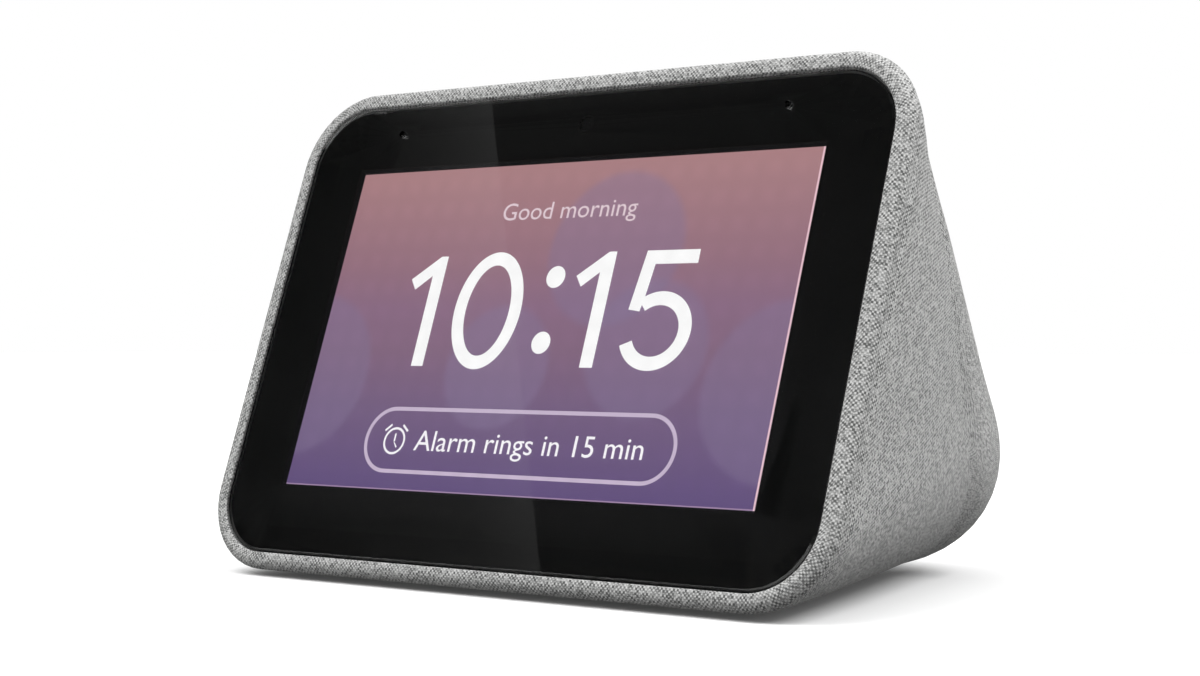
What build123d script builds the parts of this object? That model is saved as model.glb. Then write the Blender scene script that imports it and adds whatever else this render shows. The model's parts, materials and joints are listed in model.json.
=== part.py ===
from build123d import *
import os
from math import acos, atan2, cos, degrees, hypot, radians, sin, sqrt

# Smart display speaker: a fabric-covered wedge with a 4-inch screen on its leaning face.
# Row frame, millimetres: the origin is under the middle of the body on the table,
# the screen faces -Y, +X is the right-hand side seen from the front, +Z is up.

os.makedirs("parts", exist_ok=True)

# ---------------------------------------------------------------- driving dimensions
DEPTH = 79.0            # front of the bottom rim to the rear curve
FACE_LEAN = 20.0        # the face leans back from vertical, degrees
HALF_WIDTH = 57.0       # half the width of the face, outside the fabric
HALF_HEIGHT = 39.8      # half the height of the face, measured up the slant
FACE_CORNER_R = 12.6    # corner radius of the face outline
RIM_R = 1.6             # roundness of the rim round the glass
RIDGE_R = 7.0           # roundness of the ridge on top
TAIL_R = 17.0           # roundness of the rear lower edge
# The sections that hinge about the ridge narrow from the face to the rear
LAST_TOP_HALF, LAST_LOW_HALF = 52.0, 47.7
LAST_TOP_R, LAST_LOW_R = 13.0, 22.5
TAPER_POWER = 1.4       # how late they start to narrow
# and then close round the rear on to a flat panel
CLOSE_TOP, CLOSE_LOW = 12.5, 10.2
CLOSE_DOWN = 9.7
CAP_CORNER_R = 7.0

FOOT_PROUD = 0.9        # the rubber foot stands out of the underside
FABRIC_T = 0.8
GLUE_T = 0.15           # between the fabric and the housing
WALL_T = 2.0
SKIN_T = FABRIC_T + GLUE_T
LINING = SKIN_T + WALL_T          # from the fabric's surface to the housing's inner face

GLASS_W, GLASS_H, GLASS_R = 108.0, 73.8, 9.6
GLASS_T = 1.1
GLASS_SET = 0.1         # the glass lies just below the rim
SCREEN_DROP = 0.25      # the screen's centre is below the face outline's centre
ACTIVE_W, ACTIVE_H = 86.4, 51.84
MIC_X, MIC_V = 36.3, 32.2
MIC_HOLE_R = 0.5

KEY_X = 12.5            # volume keys, either side of the middle
KEY_UP = 50.5           # and this far up the rear slope, just below the ridge
KEY_W, KEY_D = 15.0, 6.4
KEY_PROUD = 0.35
KEY_TRAVEL = 0.35
KEY_GAP = 0.25

DRIVER_UP = 20.5        # driver centre, up the rear slope from its lower end
FLANGE_R = 19.0
CONE_R = 13.2
SURROUND_R = 15.6
CONE_TRAVEL = 1.0
RADIATOR_Y, RADIATOR_Z = 3.0, 28.0
RADIATOR_HOLE_R = 10.0
RADIATOR_PISTON_R = 7.4
RADIATOR_TRAVEL = 1.2

PORT_W, PORT_H = 48.0, 13.0
PORT_FACE_Y = 38.0
PORT_T = 2.0
USB_X, JACK_X, MUTE_X = 0.0, -17.0, 16.5
MUTE_TRAVEL = 2.0

SCREW_R = 1.0
SCREW_HOLE_R = 1.05
SCREW_HEAD_R = 1.8
SCREW_HEAD_T = 1.2

# ---------------------------------------------------------------- places worked out
SIN, COS = sin(radians(FACE_LEAN)), cos(radians(FACE_LEAN))
RIM_RUN = HALF_HEIGHT - RIM_R
FACE_Z = FOOT_PROUD + RIM_R + RIM_RUN * COS + RIM_R * SIN
FACE_Y = -DEPTH / 2 + RIM_R + RIM_RUN * SIN - RIM_R * COS
UNDERSIDE = FOOT_PROUD


def face_point(up, depth):
    """Y and Z of a point `up` the face from its centre and `depth` behind it."""
    return (FACE_Y + up * SIN + depth * COS, FACE_Z + up * COS - depth * SIN)


def step(point, radius, angle):
    """Y and Z of the point at `radius` from `point`, in the direction of `angle` degrees."""
    return (point[0] + radius * cos(radians(angle)), point[1] + radius * sin(radians(angle)))


LOW_RIM = face_point(-RIM_RUN, RIM_R)
HIGH_RIM = face_point(RIM_RUN, RIM_R)
RIDGE = step(HIGH_RIM, RIM_R - RIDGE_R, 90 - FACE_LEAN)
TAIL = (DEPTH / 2 - TAIL_R, UNDERSIDE + TAIL_R)
RUN = (TAIL[0] - RIDGE[0], TAIL[1] - RIDGE[1])
REAR = degrees(acos((RIDGE_R - TAIL_R) / hypot(*RUN)) + atan2(RUN[1], RUN[0]))
REAR_SIN, REAR_COS = sin(radians(REAR)), cos(radians(REAR))
SLOPE_LOW = step(TAIL, TAIL_R, REAR)

FACE_NORMAL = (0, -COS, SIN)
REAR_NORMAL = (0, REAR_COS, REAR_SIN)


def face_plane(depth=0.0, x=0.0, up=0.0):
    """Plane parallel to the face, `depth` behind it; its Z points out of the screen."""
    y, z = face_point(up, depth)
    return Plane(origin=(x, y, z), x_dir=(1, 0, 0), z_dir=FACE_NORMAL)


def rear_plane(depth=0.0, x=0.0, up=0.0):
    """Plane parallel to the rear slope, `depth` inside it; its Z points out of the rear."""
    y = SLOPE_LOW[0] - up * REAR_SIN - depth * REAR_COS
    z = SLOPE_LOW[1] + up * REAR_COS - depth * REAR_SIN
    return Plane(origin=(x, y, z), x_dir=(-1, 0, 0), z_dir=REAR_NORMAL)


def section(top, bottom, top_half, low_half, top_radius, low_radius):
    """Trapezium with round corners in the plane through the X direction, `top` and `bottom`."""
    rise = (top[0] - bottom[0], top[1] - bottom[1])
    height = hypot(*rise)
    plane = Plane(origin=(0, *bottom), x_dir=(1, 0, 0), z_dir=(0, -rise[1] / height, rise[0] / height))
    outline = make_face(Polyline([(-low_half, 0), (low_half, 0), (top_half, height), (-top_half, height)],
                                 close=True))
    outline = fillet(outline.vertices().sort_by(Axis.Y)[:2], low_radius)
    outline = fillet(outline.vertices().sort_by(Axis.Y)[-2:], top_radius)
    return plane * outline


def between(start, end, share):
    """The value that lies `share` of the way from `start` to `end`."""
    return start + (end - start) * share


def body(inset, front):
    """The wedge, drawn in by `inset` all round.

    It is three lofts through round-cornered sections whose planes hinge about the ridge:
    the rim, the sides with the underside, and the round into the flat rear panel.
    With no inset the rim is round; with one it is straight and starts at depth `front`.
    """
    half_height, half_width = HALF_HEIGHT - inset, HALF_WIDTH - inset
    corner = FACE_CORNER_R - inset
    spans = 6

    def face_section(top, bottom, grow=0.0):
        return section(top, bottom, half_width + grow, half_width + grow, corner + grow, corner + grow)

    if inset == 0:
        rim = []
        for turn in (0, 22.5, 45, 67.5, 90):
            depth = RIM_R * (1 - cos(radians(turn)))
            grow = RIM_R * (sin(radians(turn)) - 1)
            reach = half_height + grow
            rim.append(face_section(face_point(reach, depth), face_point(-reach, depth), grow))
        heel = step(LOW_RIM, RIM_R, 270)
    else:
        drop = FACE_Z - UNDERSIDE - inset - half_height * COS
        heel = face_point(-half_height, drop / SIN)
        rim = [face_section(face_point(half_height, front), face_point(-half_height, front)),
               face_section(face_point(half_height, RIM_R), heel)]
    sides = [rim[-1]]
    for index in range(1 if inset else 0, spans + 1):
        share = index / spans
        late = share ** TAPER_POWER
        top = step(RIDGE, RIDGE_R - inset, between(90 - FACE_LEAN, REAR, (index + 1) / (spans + 1)))
        bottom = (between(heel[0], TAIL[0], share), UNDERSIDE + inset)
        sides.append(section(top, bottom,
                             between(HALF_WIDTH, LAST_TOP_HALF, late) - inset,
                             between(HALF_WIDTH, LAST_LOW_HALF, late) - inset,
                             between(FACE_CORNER_R, LAST_TOP_R, sqrt(share)) - inset,
                             between(FACE_CORNER_R, LAST_LOW_R, share) - inset))
    rear = [sides[-1]]
    shoulder = step(RIDGE, RIDGE_R - inset, REAR)
    for index in range(1, 7):
        share = index / 6
        turned_in = 1 - cos(radians(90 * share))
        down = (CLOSE_DOWN - inset / 2) * turned_in
        top = (shoulder[0] + down * REAR_SIN, shoulder[1] - down * REAR_COS)
        bottom = step(TAIL, TAIL_R - inset, between(-90, REAR, share))
        rear.append(section(top, bottom,
                            LAST_TOP_HALF - inset - (CLOSE_TOP - inset / 2) * turned_in,
                            LAST_LOW_HALF - inset - (CLOSE_LOW - inset / 2) * turned_in,
                            between(LAST_TOP_R - inset, CAP_CORNER_R - inset / 2, share),
                            between(LAST_LOW_R - inset, CAP_CORNER_R - inset / 2, share)))
    return loft(rim) + loft(sides) + loft(rear)


def slab(width, height, near, far, radius=0.0, x=0.0, up=0.0):
    """Plate parallel to the face between depths `near` and `far`."""
    outline = RectangleRounded(width, height, radius) if radius else Rectangle(width, height)
    return extrude(face_plane(near, x, up) * outline, -(far - near))


def rod(radius, near, far, x=0.0, up=0.0):
    """Round bar square to the face between depths `near` and `far`."""
    return extrude(face_plane(near, x, up) * Circle(radius), -(far - near))


def rear_rod(radius, near, far, x=0.0, up=DRIVER_UP):
    """Round bar square to the rear slope between depths `near` and `far`."""
    return extrude(rear_plane(near, x, up) * Circle(radius), -(far - near))


def rear_ring(outer, inner, near, far):
    """Ring about the driver's axis between depths `near` and `far`."""
    return rear_rod(outer, near, far) - rear_rod(inner, near, far)


def block(x0, x1, y0, y1, z0, z1):
    """Box between its lowest and highest coordinates."""
    return Pos((x0 + x1) / 2, (y0 + y1) / 2, (z0 + z1) / 2) * Box(x1 - x0, y1 - y0, z1 - z0)


def screws(places, near, length):
    """Pan-head screws square to the face; heads end at depth `near`."""
    made = []
    for x, up in places:
        head = rod(SCREW_HEAD_R, near - SCREW_HEAD_T, near, x, up)
        recess = rod(0.6, near - SCREW_HEAD_T, near - SCREW_HEAD_T + 0.6, x, up)
        made.append(head - recess + rod(SCREW_R, near, near + length, x, up))
    return Compound(children=[Part(part.wrapped) for part in made])


parts = {}

# ---------------------------------------------------------------- shells of the wedge
outer = body(0, 0)
under_fabric = body(SKIN_T, SKIN_T)
fabric_back = body(FABRIC_T, FABRIC_T)
hollow = body(LINING, -2)
inside = body(LINING + 0.15, -2)

# The face opening, and the display assembly's depths behind the face
GLASS_BACK = GLASS_SET + GLASS_T
MASK_BACK = GLASS_BACK + 0.1
FRAME_FRONT, FRAME_BACK = 1.9, 6.2
LCD_FRONT, LCD_BACK = 1.85, 3.1
LIGHT_BACK = 5.0
LEDGE = 5.2
SPREADER_BACK = FRAME_BACK + 1.0
CHIP_FRONT = 10.8
BOARD_FRONT, BOARD_BACK = 13.0, 14.2
BOX_FRONT = 17.5
BOX_WALL = 1.8
LID_OUT, LID_IN = 6.0, 8.0

DISPLAY_SCREWS = [(x, up) for x in (-51.2, 51.2) for up in (-19.0, 20.0)]
BOARD_SCREWS = [(x, up) for x in (-46.5, 46.5) for up in (-19.0, 14.0)]
BOX_SCREWS = [(x, 4.0) for x in (-47.8, 47.8)]

# Base plate outline: it narrows to the rear with the flat of the underside
BASE_FRONT, BASE_BACK = -30.0, 14.0
BASE_FRONT_X, BASE_BACK_X = 38.5, 26.0


def base_outline(inset, radius):
    """Trapezium with round corners, drawn in by `inset`."""
    front, back = BASE_FRONT + inset, BASE_BACK - inset
    points = [(-BASE_FRONT_X + inset, front), (BASE_FRONT_X - inset, front),
              (BASE_BACK_X - inset, back), (-BASE_BACK_X + inset, back)]
    outline = make_face(Polyline(points, close=True))
    return fillet(outline.vertices(), radius)


def base_slab(inset, radius, low, high):
    """Plate on the base outline between two heights."""
    return extrude(Plane.XY.offset(low) * base_outline(inset, radius), high - low)


def key_prism(grow, near, far, x):
    """Pill-shaped prism at a volume key, `grow` wider all round, between two depths."""
    pill = SlotOverall(KEY_W + 2 * grow, KEY_D + 2 * grow)
    return extrude(rear_plane(near, x, KEY_UP) * pill, near - far)


def port_prism(grow, y0, y1):
    """Round-cornered prism at the port panel, `grow` wider all round."""
    plane = Plane(origin=(0, y0, TAIL[1]), x_dir=(1, 0, 0), z_dir=(0, -1, 0))
    return extrude(plane * RectangleRounded(PORT_W + 2 * grow, PORT_H + 2 * grow, 3 + grow), y0 - y1)


glass_well = slab(GLASS_W + 0.5, GLASS_H + 0.5, -3, 4, GLASS_R + 0.25, up=-SCREEN_DROP)
fabric = outer - fabric_back - glass_well - base_slab(-0.3, 6.3, -1, 3) - port_prism(0.3, 42, 30)
for x in (-KEY_X, KEY_X):
    fabric -= key_prism(KEY_GAP, -1, 4, x)
parts["fabric_cover"] = fabric

# Housing: the hard shell under the fabric, with its screw bosses and its sound slots
GRILLE_PITCH, GRILLE_SLOT = 4.2, 2.0
LEDGE_TOP, BASE_BOSS_TOP, BASE_SCREW_TOP = 4.3, 5.2, 5.0
BASE_SCREWS = [(-32.5, -24.5), (32.5, -24.5), (-22.5, 8.5), (22.5, 8.5)]
IO_POSTS = [(-20.0, 26.0), (20.0, 26.0)]
IO_BOARD_LOW, IO_BOARD_TOP = 12.0, 13.2
KEY_POSTS_X = 23.5
KEY_BOARD_NEAR, KEY_BOARD_FAR = 7.0, 8.0
WELL_CORNER_R = GLASS_R - 0.4   # tighter than the glass, so that its corners clear the housing

shell = under_fabric - hollow
shell -= slab(GLASS_W + 0.3, GLASS_H + 0.3, -3, FRAME_FRONT, WELL_CORNER_R, up=-SCREEN_DROP)
side_bosses = [(DISPLAY_SCREWS, 8.6, 1.6, FRAME_BACK, 12.4), (BOARD_SCREWS, 14, 4.2, BOARD_BACK, 17),
               (BOX_SCREWS, 10.6, 2.8, BOX_FRONT + BOX_WALL, 24)]
for places, width, shift, near, far in side_bosses:
    for x, up in places:
        side = 1 if x > 0 else -1
        boss = slab(width, 6, near, far, x=x + shift * side, up=up) & under_fabric
        shell += boss
        shell -= rod(SCREW_HOLE_R, near, far - 0.5, x, up)
shell -= base_slab(0, 6, -1, UNDERSIDE + 2)
shell += base_slab(-1.5, 7.5, UNDERSIDE + 2, LEDGE_TOP) - base_slab(3, 3, 2, 6)
for x, y in BASE_SCREWS:
    boss = extrude(Plane.XY.offset(UNDERSIDE + 2) * Pos(x, y) * Circle(2.6), BASE_BOSS_TOP - UNDERSIDE - 2)
    shell += boss
    shell -= extrude(Plane.XY.offset(2) * Pos(x, y) * Circle(SCREW_HOLE_R), 4)
for x, y in IO_POSTS:
    shell += extrude(Plane.XY.offset(2) * Pos(x, y) * Circle(2.2), IO_BOARD_LOW - 2) & under_fabric
for x in (-KEY_POSTS_X, KEY_POSTS_X):
    shell += rear_rod(1.2, WALL_T, KEY_BOARD_NEAR, x, KEY_UP)
shell -= port_prism(0.15, 42, 30)
for x in (-KEY_X, KEY_X):
    shell -= key_prism(KEY_GAP, -1, 4, x)
for index in range(-3, 4):
    chord = 2 * sqrt(15.5 ** 2 - (index * GRILLE_PITCH) ** 2)
    slot = rear_plane(-1, 0, DRIVER_UP + index * GRILLE_PITCH) * SlotOverall(chord, GRILLE_SLOT)
    shell -= extrude(slot, -5)
for index in range(-2, 3):
    chord = 2 * sqrt(9.5 ** 2 - (index * GRILLE_PITCH) ** 2)
    for x in (-60, 45.5):
        wall = Plane(origin=(x, RADIATOR_Y, RADIATOR_Z), x_dir=(0, 1, 0), z_dir=(1, 0, 0))
        shell -= extrude(wall * Pos(0, index * GRILLE_PITCH) * SlotOverall(chord, GRILLE_SLOT), 14.5)
parts["housing"] = shell

# ---------------------------------------------------------------- screen, front to back
MIC_UP = MIC_V - SCREEN_DROP
SENSOR_X, SENSOR_UP = 0.6, 31.6
glass = slab(GLASS_W, GLASS_H, GLASS_SET, GLASS_BACK, GLASS_R, up=-SCREEN_DROP)
front_edges = glass.faces().sort_by(Axis((0, FACE_Y, FACE_Z), FACE_NORMAL))[-1].outer_wire().edges()
glass = chamfer(front_edges, 0.3)
mask = slab(GLASS_W - 0.8, GLASS_H - 0.8, GLASS_BACK, MASK_BACK, GLASS_R - 0.4, up=-SCREEN_DROP)
mask -= slab(ACTIVE_W + 1, ACTIVE_H + 1, 1, 2, up=-SCREEN_DROP)
mask -= rod(1.4, 1, 2, SENSOR_X, SENSOR_UP)
gasket = slab(GLASS_W - 1.4, GLASS_H - 1.4, MASK_BACK, FRAME_FRONT, GLASS_R - 0.7, up=-SCREEN_DROP)
gasket -= slab(98.4, 65.6, 1, 2, up=-SCREEN_DROP)
frame = slab(GLASS_W - 0.6, GLASS_H - 0.6, FRAME_FRONT, FRAME_BACK, GLASS_R - 0.3, up=-SCREEN_DROP)
frame = (frame & inside) - slab(95.2, 61.2, 1, LEDGE, up=-SCREEN_DROP)
frame -= slab(88, 54, LEDGE - 1, FRAME_BACK + 1, up=-SCREEN_DROP)
frame -= slab(7.2, 4.0, 1, 4.3, x=SENSOR_X, up=SENSOR_UP)
gasket -= slab(6.4, 4.0, 1, 2, x=SENSOR_X, up=SENSOR_UP)
for x, up in DISPLAY_SCREWS:
    frame -= rod(SCREW_HEAD_R + 0.2, 1, 3.3, x, up) + rod(SCREW_R + 0.15, 1, 7, x, up)
for side, x in (("left", -MIC_X), ("right", MIC_X)):
    glass -= rod(MIC_HOLE_R, 0, 2, x, MIC_UP)
    mask -= rod(MIC_HOLE_R + 0.2, 0, 2, x, MIC_UP)
    gasket -= slab(6.4, 4.0, 1, 2, x=x, up=MIC_UP)
    frame -= slab(8.2, 4.2, 1, 4.3, x=x, up=MIC_UP)
    boot = slab(6, 3.6, MASK_BACK, 2.3, 0.8, x, MIC_UP) - rod(MIC_HOLE_R, 1, 3, x, MIC_UP)
    card = slab(7.6, 3.6, 2.3, 3.1, 0.4, x, MIC_UP) + slab(3.5, 2.7, 3.1, 4.1, x=x, up=MIC_UP)
    parts["mic_gasket_" + side] = boot
    parts["mic_board_" + side] = card - rod(0.4, 2, 3.6, x, MIC_UP)
parts["cover_glass"] = glass
parts["window_mask"] = mask
parts["glass_gasket"] = gasket
parts["display_frame"] = frame
parts["touch_sensor"] = slab(96, 59.6, MASK_BACK, 1.7, up=-SCREEN_DROP)
parts["lcd_cell"] = slab(94, 60, LCD_FRONT, LCD_BACK, up=-SCREEN_DROP)
parts["backlight"] = slab(94.6, 60.6, LCD_BACK, LIGHT_BACK, 0.6, up=-SCREEN_DROP)
parts["light_sensor"] = (slab(6, 3.2, 2.3, 3.1, 0.4, SENSOR_X, SENSOR_UP)
                         + slab(2, 2, 1.5, 2.3, x=SENSOR_X, up=SENSOR_UP))
parts["display_screws"] = screws(DISPLAY_SCREWS, 3.2, 8.2)

# Ribbon from the screen's back, below the heat spreader, to the main board
RIBBON_T = 0.25
ribbon = slab(22, 7.8, LIGHT_BACK, LIGHT_BACK + RIBBON_T, up=-21.9)
ribbon += slab(22, RIBBON_T, LIGHT_BACK, 11.6, up=-25.8 + RIBBON_T / 2)
ribbon += slab(22, 5.8, 11.6 - RIBBON_T, 11.6, up=-22.9)
parts["display_ribbon"] = ribbon

# ---------------------------------------------------------------- main board
parts["heat_spreader"] = slab(94, 50, FRAME_BACK, SPREADER_BACK, 1.5, up=1)
parts["thermal_pad"] = slab(20, 20, SPREADER_BACK, CHIP_FRONT, x=12, up=4)
can = slab(34, 30, CHIP_FRONT, BOARD_FRONT, 0.8, 12, 4)
parts["shield_can"] = can - slab(33.4, 29.4, CHIP_FRONT + 0.3, 14, x=12, up=4)
board = slab(98, 50, BOARD_FRONT, BOARD_BACK, 2, up=-2)
for x, up in BOARD_SCREWS:
    board -= rod(SCREW_R + 0.15, 12, 15, x, up)
parts["main_board"] = board
chip_places = [(12, 7, 14, 14, 1.3), (20, -4, 11, 8, 1.0), (4, -5, 8, 6, 0.9), (-28, 10, 15, 12, 1.7),
               (-14, 14, 7, 7, 1.0), (-12, 2, 6, 6, 2.4), (-21, -4, 6, 6, 2.4), (0, -21.8, 24, 4, 1.4)]
chips = [slab(w, h, BOARD_FRONT - tall, BOARD_FRONT, x=x, up=up) for x, up, w, h, tall in chip_places]
chips.append(slab(12, 3, BOARD_BACK, BOARD_BACK + 1, up=-24))
parts["board_chips"] = Compound([solid for chip in chips for solid in chip.solids()])
parts["board_screws"] = screws(BOARD_SCREWS, BOARD_FRONT, 3.2)
parts["wifi_antenna"] = slab(26, 3, FRAME_BACK, FRAME_BACK + 0.6, 0.5, -27, 31.2)

# ---------------------------------------------------------------- speaker box
LID_HOLE_R = 17.6
IO_BAY_Y, IO_BAY_TOP = 20.6, 23.0
BOX_HALF_WIDTH = 43.0
BOX_LOW = 5.5
LID_SCREWS = [(x, up) for x in (-37.5, 37.5) for up in (6.0, 33.0)]


def box_space(inset):
    """Space of the speaker box, drawn in by `inset` on the sides that have a wall."""
    space = body(LINING + 1.5 + inset, -2)
    half = BOX_HALF_WIDTH - inset
    space &= block(-half, half, -60, 60, BOX_LOW + inset, 90)
    space -= slab(200, 200, -50, BOX_FRONT + inset)
    return space - block(-60, 60, IO_BAY_Y - inset, 60, -5, IO_BAY_TOP + inset)


def behind_slope(depth):
    """Everything nearer to the rear slope's surface than `depth`."""
    return extrude(rear_plane(depth) * Rectangle(400, 400), 90)


box = box_space(0) - behind_slope(LID_OUT)
lid = box & behind_slope(LID_IN)
tub = box - behind_slope(LID_IN)
cavity = box_space(BOX_WALL) - behind_slope(LID_IN - 1)
tub -= cavity
for x, up in LID_SCREWS:
    tub += rear_rod(4.0, LID_IN, 15, x, up) & box
    tub -= rear_rod(SCREW_HOLE_R, LID_IN - 1, 14, x, up)
    lid -= rear_rod(SCREW_R + 0.15, 5, 9, x, up)
for x, up in BOX_SCREWS:
    ear = slab(10, 6, BOX_FRONT, BOX_FRONT + BOX_WALL, x=x - (1.5 if x > 0 else -1.5), up=up)
    tub += (ear & inside) - rod(SCREW_R + 0.15, 15, 22, x, up)
for x in (-50, 40):
    wall = Plane(origin=(x, RADIATOR_Y, RADIATOR_Z), x_dir=(0, 1, 0), z_dir=(1, 0, 0))
    tub -= extrude(wall * Circle(RADIATOR_HOLE_R), 10)
parts["speaker_box"] = tub
parts["speaker_box_lid"] = lid - rear_rod(LID_HOLE_R, 5, 9)
lid_screws = []
for x, up in LID_SCREWS:
    lid_screws.append(rear_rod(SCREW_HEAD_R, LID_OUT - SCREW_HEAD_T, LID_OUT, x, up)
                      - rear_rod(0.6, LID_OUT - SCREW_HEAD_T, LID_OUT - 0.6, x, up)
                      + rear_rod(SCREW_R, LID_OUT, 13.5, x, up))
parts["lid_screws"] = Compound([solid for screw in lid_screws for solid in screw.solids()])
parts["box_screws"] = screws(BOX_SCREWS, BOX_FRONT, 5)

# ---------------------------------------------------------------- driver, turned about its axis
DRIVER_CENTRE = rear_plane(0, 0, DRIVER_UP).origin


def turned(points, centre=DRIVER_CENTRE, inward=(0, -REAR_COS, -REAR_SIN)):
    """Ring turned from a profile of (radius, depth) points about the axis `inward`."""
    across = Vector(1, 0, 0) if abs(inward[0]) < 0.5 else Vector(0, 1, 0)
    plane = Plane(origin=centre, x_dir=across, z_dir=across.cross(Vector(*inward)))
    profile = plane * make_face(Polyline(points, close=True))
    return revolve(profile, Axis(centre, Vector(*inward)), 360)


def half_roll(outer_lip, inner_lip, base, thick, rise=-1):
    """Profile of a surround: two flat lips joined by a half roll that bulges outwards."""
    outer, inner = outer_lip[1], inner_lip[1]
    middle, radius = (outer + inner) / 2, (outer - inner) / 2
    steps = [180 * index / 8 for index in range(9)]
    top = [(middle + radius * cos(radians(a)), base + rise * (thick + radius * sin(radians(a))))
           for a in steps]
    under = [(middle + (radius - thick) * cos(radians(a)), base + rise * (radius - thick) * sin(radians(a)))
             for a in steps]
    return ([(outer_lip[0], base), (outer_lip[0], base + rise * thick)] + top
            + [(inner_lip[0], base + rise * thick), (inner_lip[0], base)] + under[::-1])


parts["driver_gasket"] = rear_ring(FLANGE_R, 16.8, LINING + 0.05, 4.8)
parts["driver_basket"] = turned([(16.5, 4.8), (FLANGE_R, 4.8), (FLANGE_R, 6.0), (17.3, 6.0), (17.3, 7.0),
                                 (12.6, 14.0), (12.6, 15.0), (9.0, 15.0), (9.0, 14.2), (11.8, 14.2),
                                 (15.1, 7.4), (15.1, 6.0), (16.5, 6.0)])
parts["driver_surround"] = turned(half_roll((16.4, 15.0), (12.7, 13.3), 6.0, 0.35))
parts["driver_cone"] = turned([(13.2, 6.05), (13.2, 6.45), (5.9, 10.0), (5.6, 10.0), (5.6, 9.6), (12.6, 6.05)])
parts["dust_cap"] = turned([(0, 8.0), (2.4, 8.2), (4.4, 8.8), (5.55, 9.5), (5.55, 9.9), (4.3, 9.3),
                            (2.3, 8.6), (0, 8.4)])
parts["voice_coil"] = turned([(5.0, 9.95), (5.5, 9.95), (5.5, 13.0), (5.6, 13.0), (5.6, 16.2), (5.0, 16.2)])
parts["spider"] = turned([(5.65, 10.4), (7.2, 10.1), (8.7, 10.7), (10.2, 10.1), (11.7, 10.7), (13.2, 10.3),
                          (13.2, 10.6), (11.7, 11.0), (10.2, 10.4), (8.7, 11.0), (7.2, 10.4), (5.65, 10.7)])
parts["top_plate"] = rear_ring(12.5, 5.95, 15, 17)
parts["magnet"] = rear_ring(13, 7.5, 17, 22)
parts["yoke"] = rear_rod(13, 22, 24) + rear_rod(4.6, 15.3, 22)

for side, sign in (("left", -1), ("right", 1)):
    centre = (sign * BOX_HALF_WIDTH, RADIATOR_Y, RADIATOR_Z)
    outward = (sign, 0, 0)
    parts["radiator_surround_" + side] = turned(half_roll((11.3, 9.9), (6.6, 7.9), 0.0, 0.35, 1),
                                                centre, outward)
    parts["radiator_piston_" + side] = turned([(0, -1.4), (RADIATOR_PISTON_R, -1.4), (RADIATOR_PISTON_R, -0.02),
                                               (5.0, -0.02), (4.2, -0.6), (0, -0.6)], centre, outward)

# ---------------------------------------------------------------- rear panel and its board
JACK_Z, JACK_R = 18.0, 3.0
MUTE_Z, MUTE_REST = TAIL[1], MUTE_X - MUTE_TRAVEL / 2
panel = port_prism(0, PORT_FACE_Y, 33.4) + block(-25.5, 25.5, 31.9, 33.4, 9.9, 22.8)
panel -= block(-22.5, 22.5, 31, PORT_FACE_Y - PORT_T, 12.9, 22.9)
panel -= block(-6.8, 6.8, 30, 40, IO_BOARD_TOP - 0.2, IO_BOARD_TOP + 5.9)
panel -= block(14.0, 19.0, 30, 40, MUTE_Z - 1.2, MUTE_Z + 1.2)
jack_axis = Plane(origin=(JACK_X, 40, JACK_Z), x_dir=(1, 0, 0), z_dir=(0, -1, 0))
panel -= extrude(jack_axis * Circle(JACK_R + 0.15), 8)
parts["port_panel"] = panel
usb = block(-6.6, 6.6, 24, 37.6, IO_BOARD_TOP, IO_BOARD_TOP + 5.7)
parts["usb_socket"] = usb - block(-6.25, 6.25, 24.6, 40, IO_BOARD_TOP + 0.35, IO_BOARD_TOP + 5.35)
parts["usb_tongue"] = block(-5.4, 5.4, 24.6, 36.6, IO_BOARD_TOP + 2.9, IO_BOARD_TOP + 4.7)
jack = block(JACK_X - 4.5, JACK_X + 4.5, 24.5, PORT_FACE_Y - PORT_T, IO_BOARD_TOP, 22.6)
parts["power_jack"] = jack - extrude(jack_axis * Circle(JACK_R), 13)
parts["power_pin"] = extrude(jack_axis.offset(4.6) * Circle(1.0), 8.4)
switch = block(12.7, 20.3, 31.9, 35.6, IO_BOARD_TOP, 20.6)
parts["mute_switch"] = switch - block(14.0, 19.0, 33.4, 36, MUTE_Z - 1.2, MUTE_Z + 1.2)
knob = block(MUTE_REST - 1.3, MUTE_REST + 1.3, 33.6, 38.6, MUTE_Z - 1, MUTE_Z + 1)
for shift in (-0.7, 0, 0.7):
    knob -= block(MUTE_REST + shift - 0.12, MUTE_REST + shift + 0.12, 38.35, 39, MUTE_Z - 2, MUTE_Z + 2)
parts["mute_slider"] = knob
parts["port_board"] = block(-24, 24, 22.2, 31.5, IO_BOARD_LOW, IO_BOARD_TOP)
lead = block(-5, 5, 21.4, 23.8, IO_BOARD_TOP, IO_BOARD_TOP + RIBBON_T)
lead += block(-5, 5, 21.4, 21.4 + RIBBON_T, 4.5, IO_BOARD_TOP + RIBBON_T)
lead += block(-5, 5, -21.9, 21.4 + RIBBON_T, 4.5, 4.5 + RIBBON_T)
lead += block(-5, 5, -21.9, -21.9 + RIBBON_T, 4.5, 8.4)
parts["port_ribbon"] = lead

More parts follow.
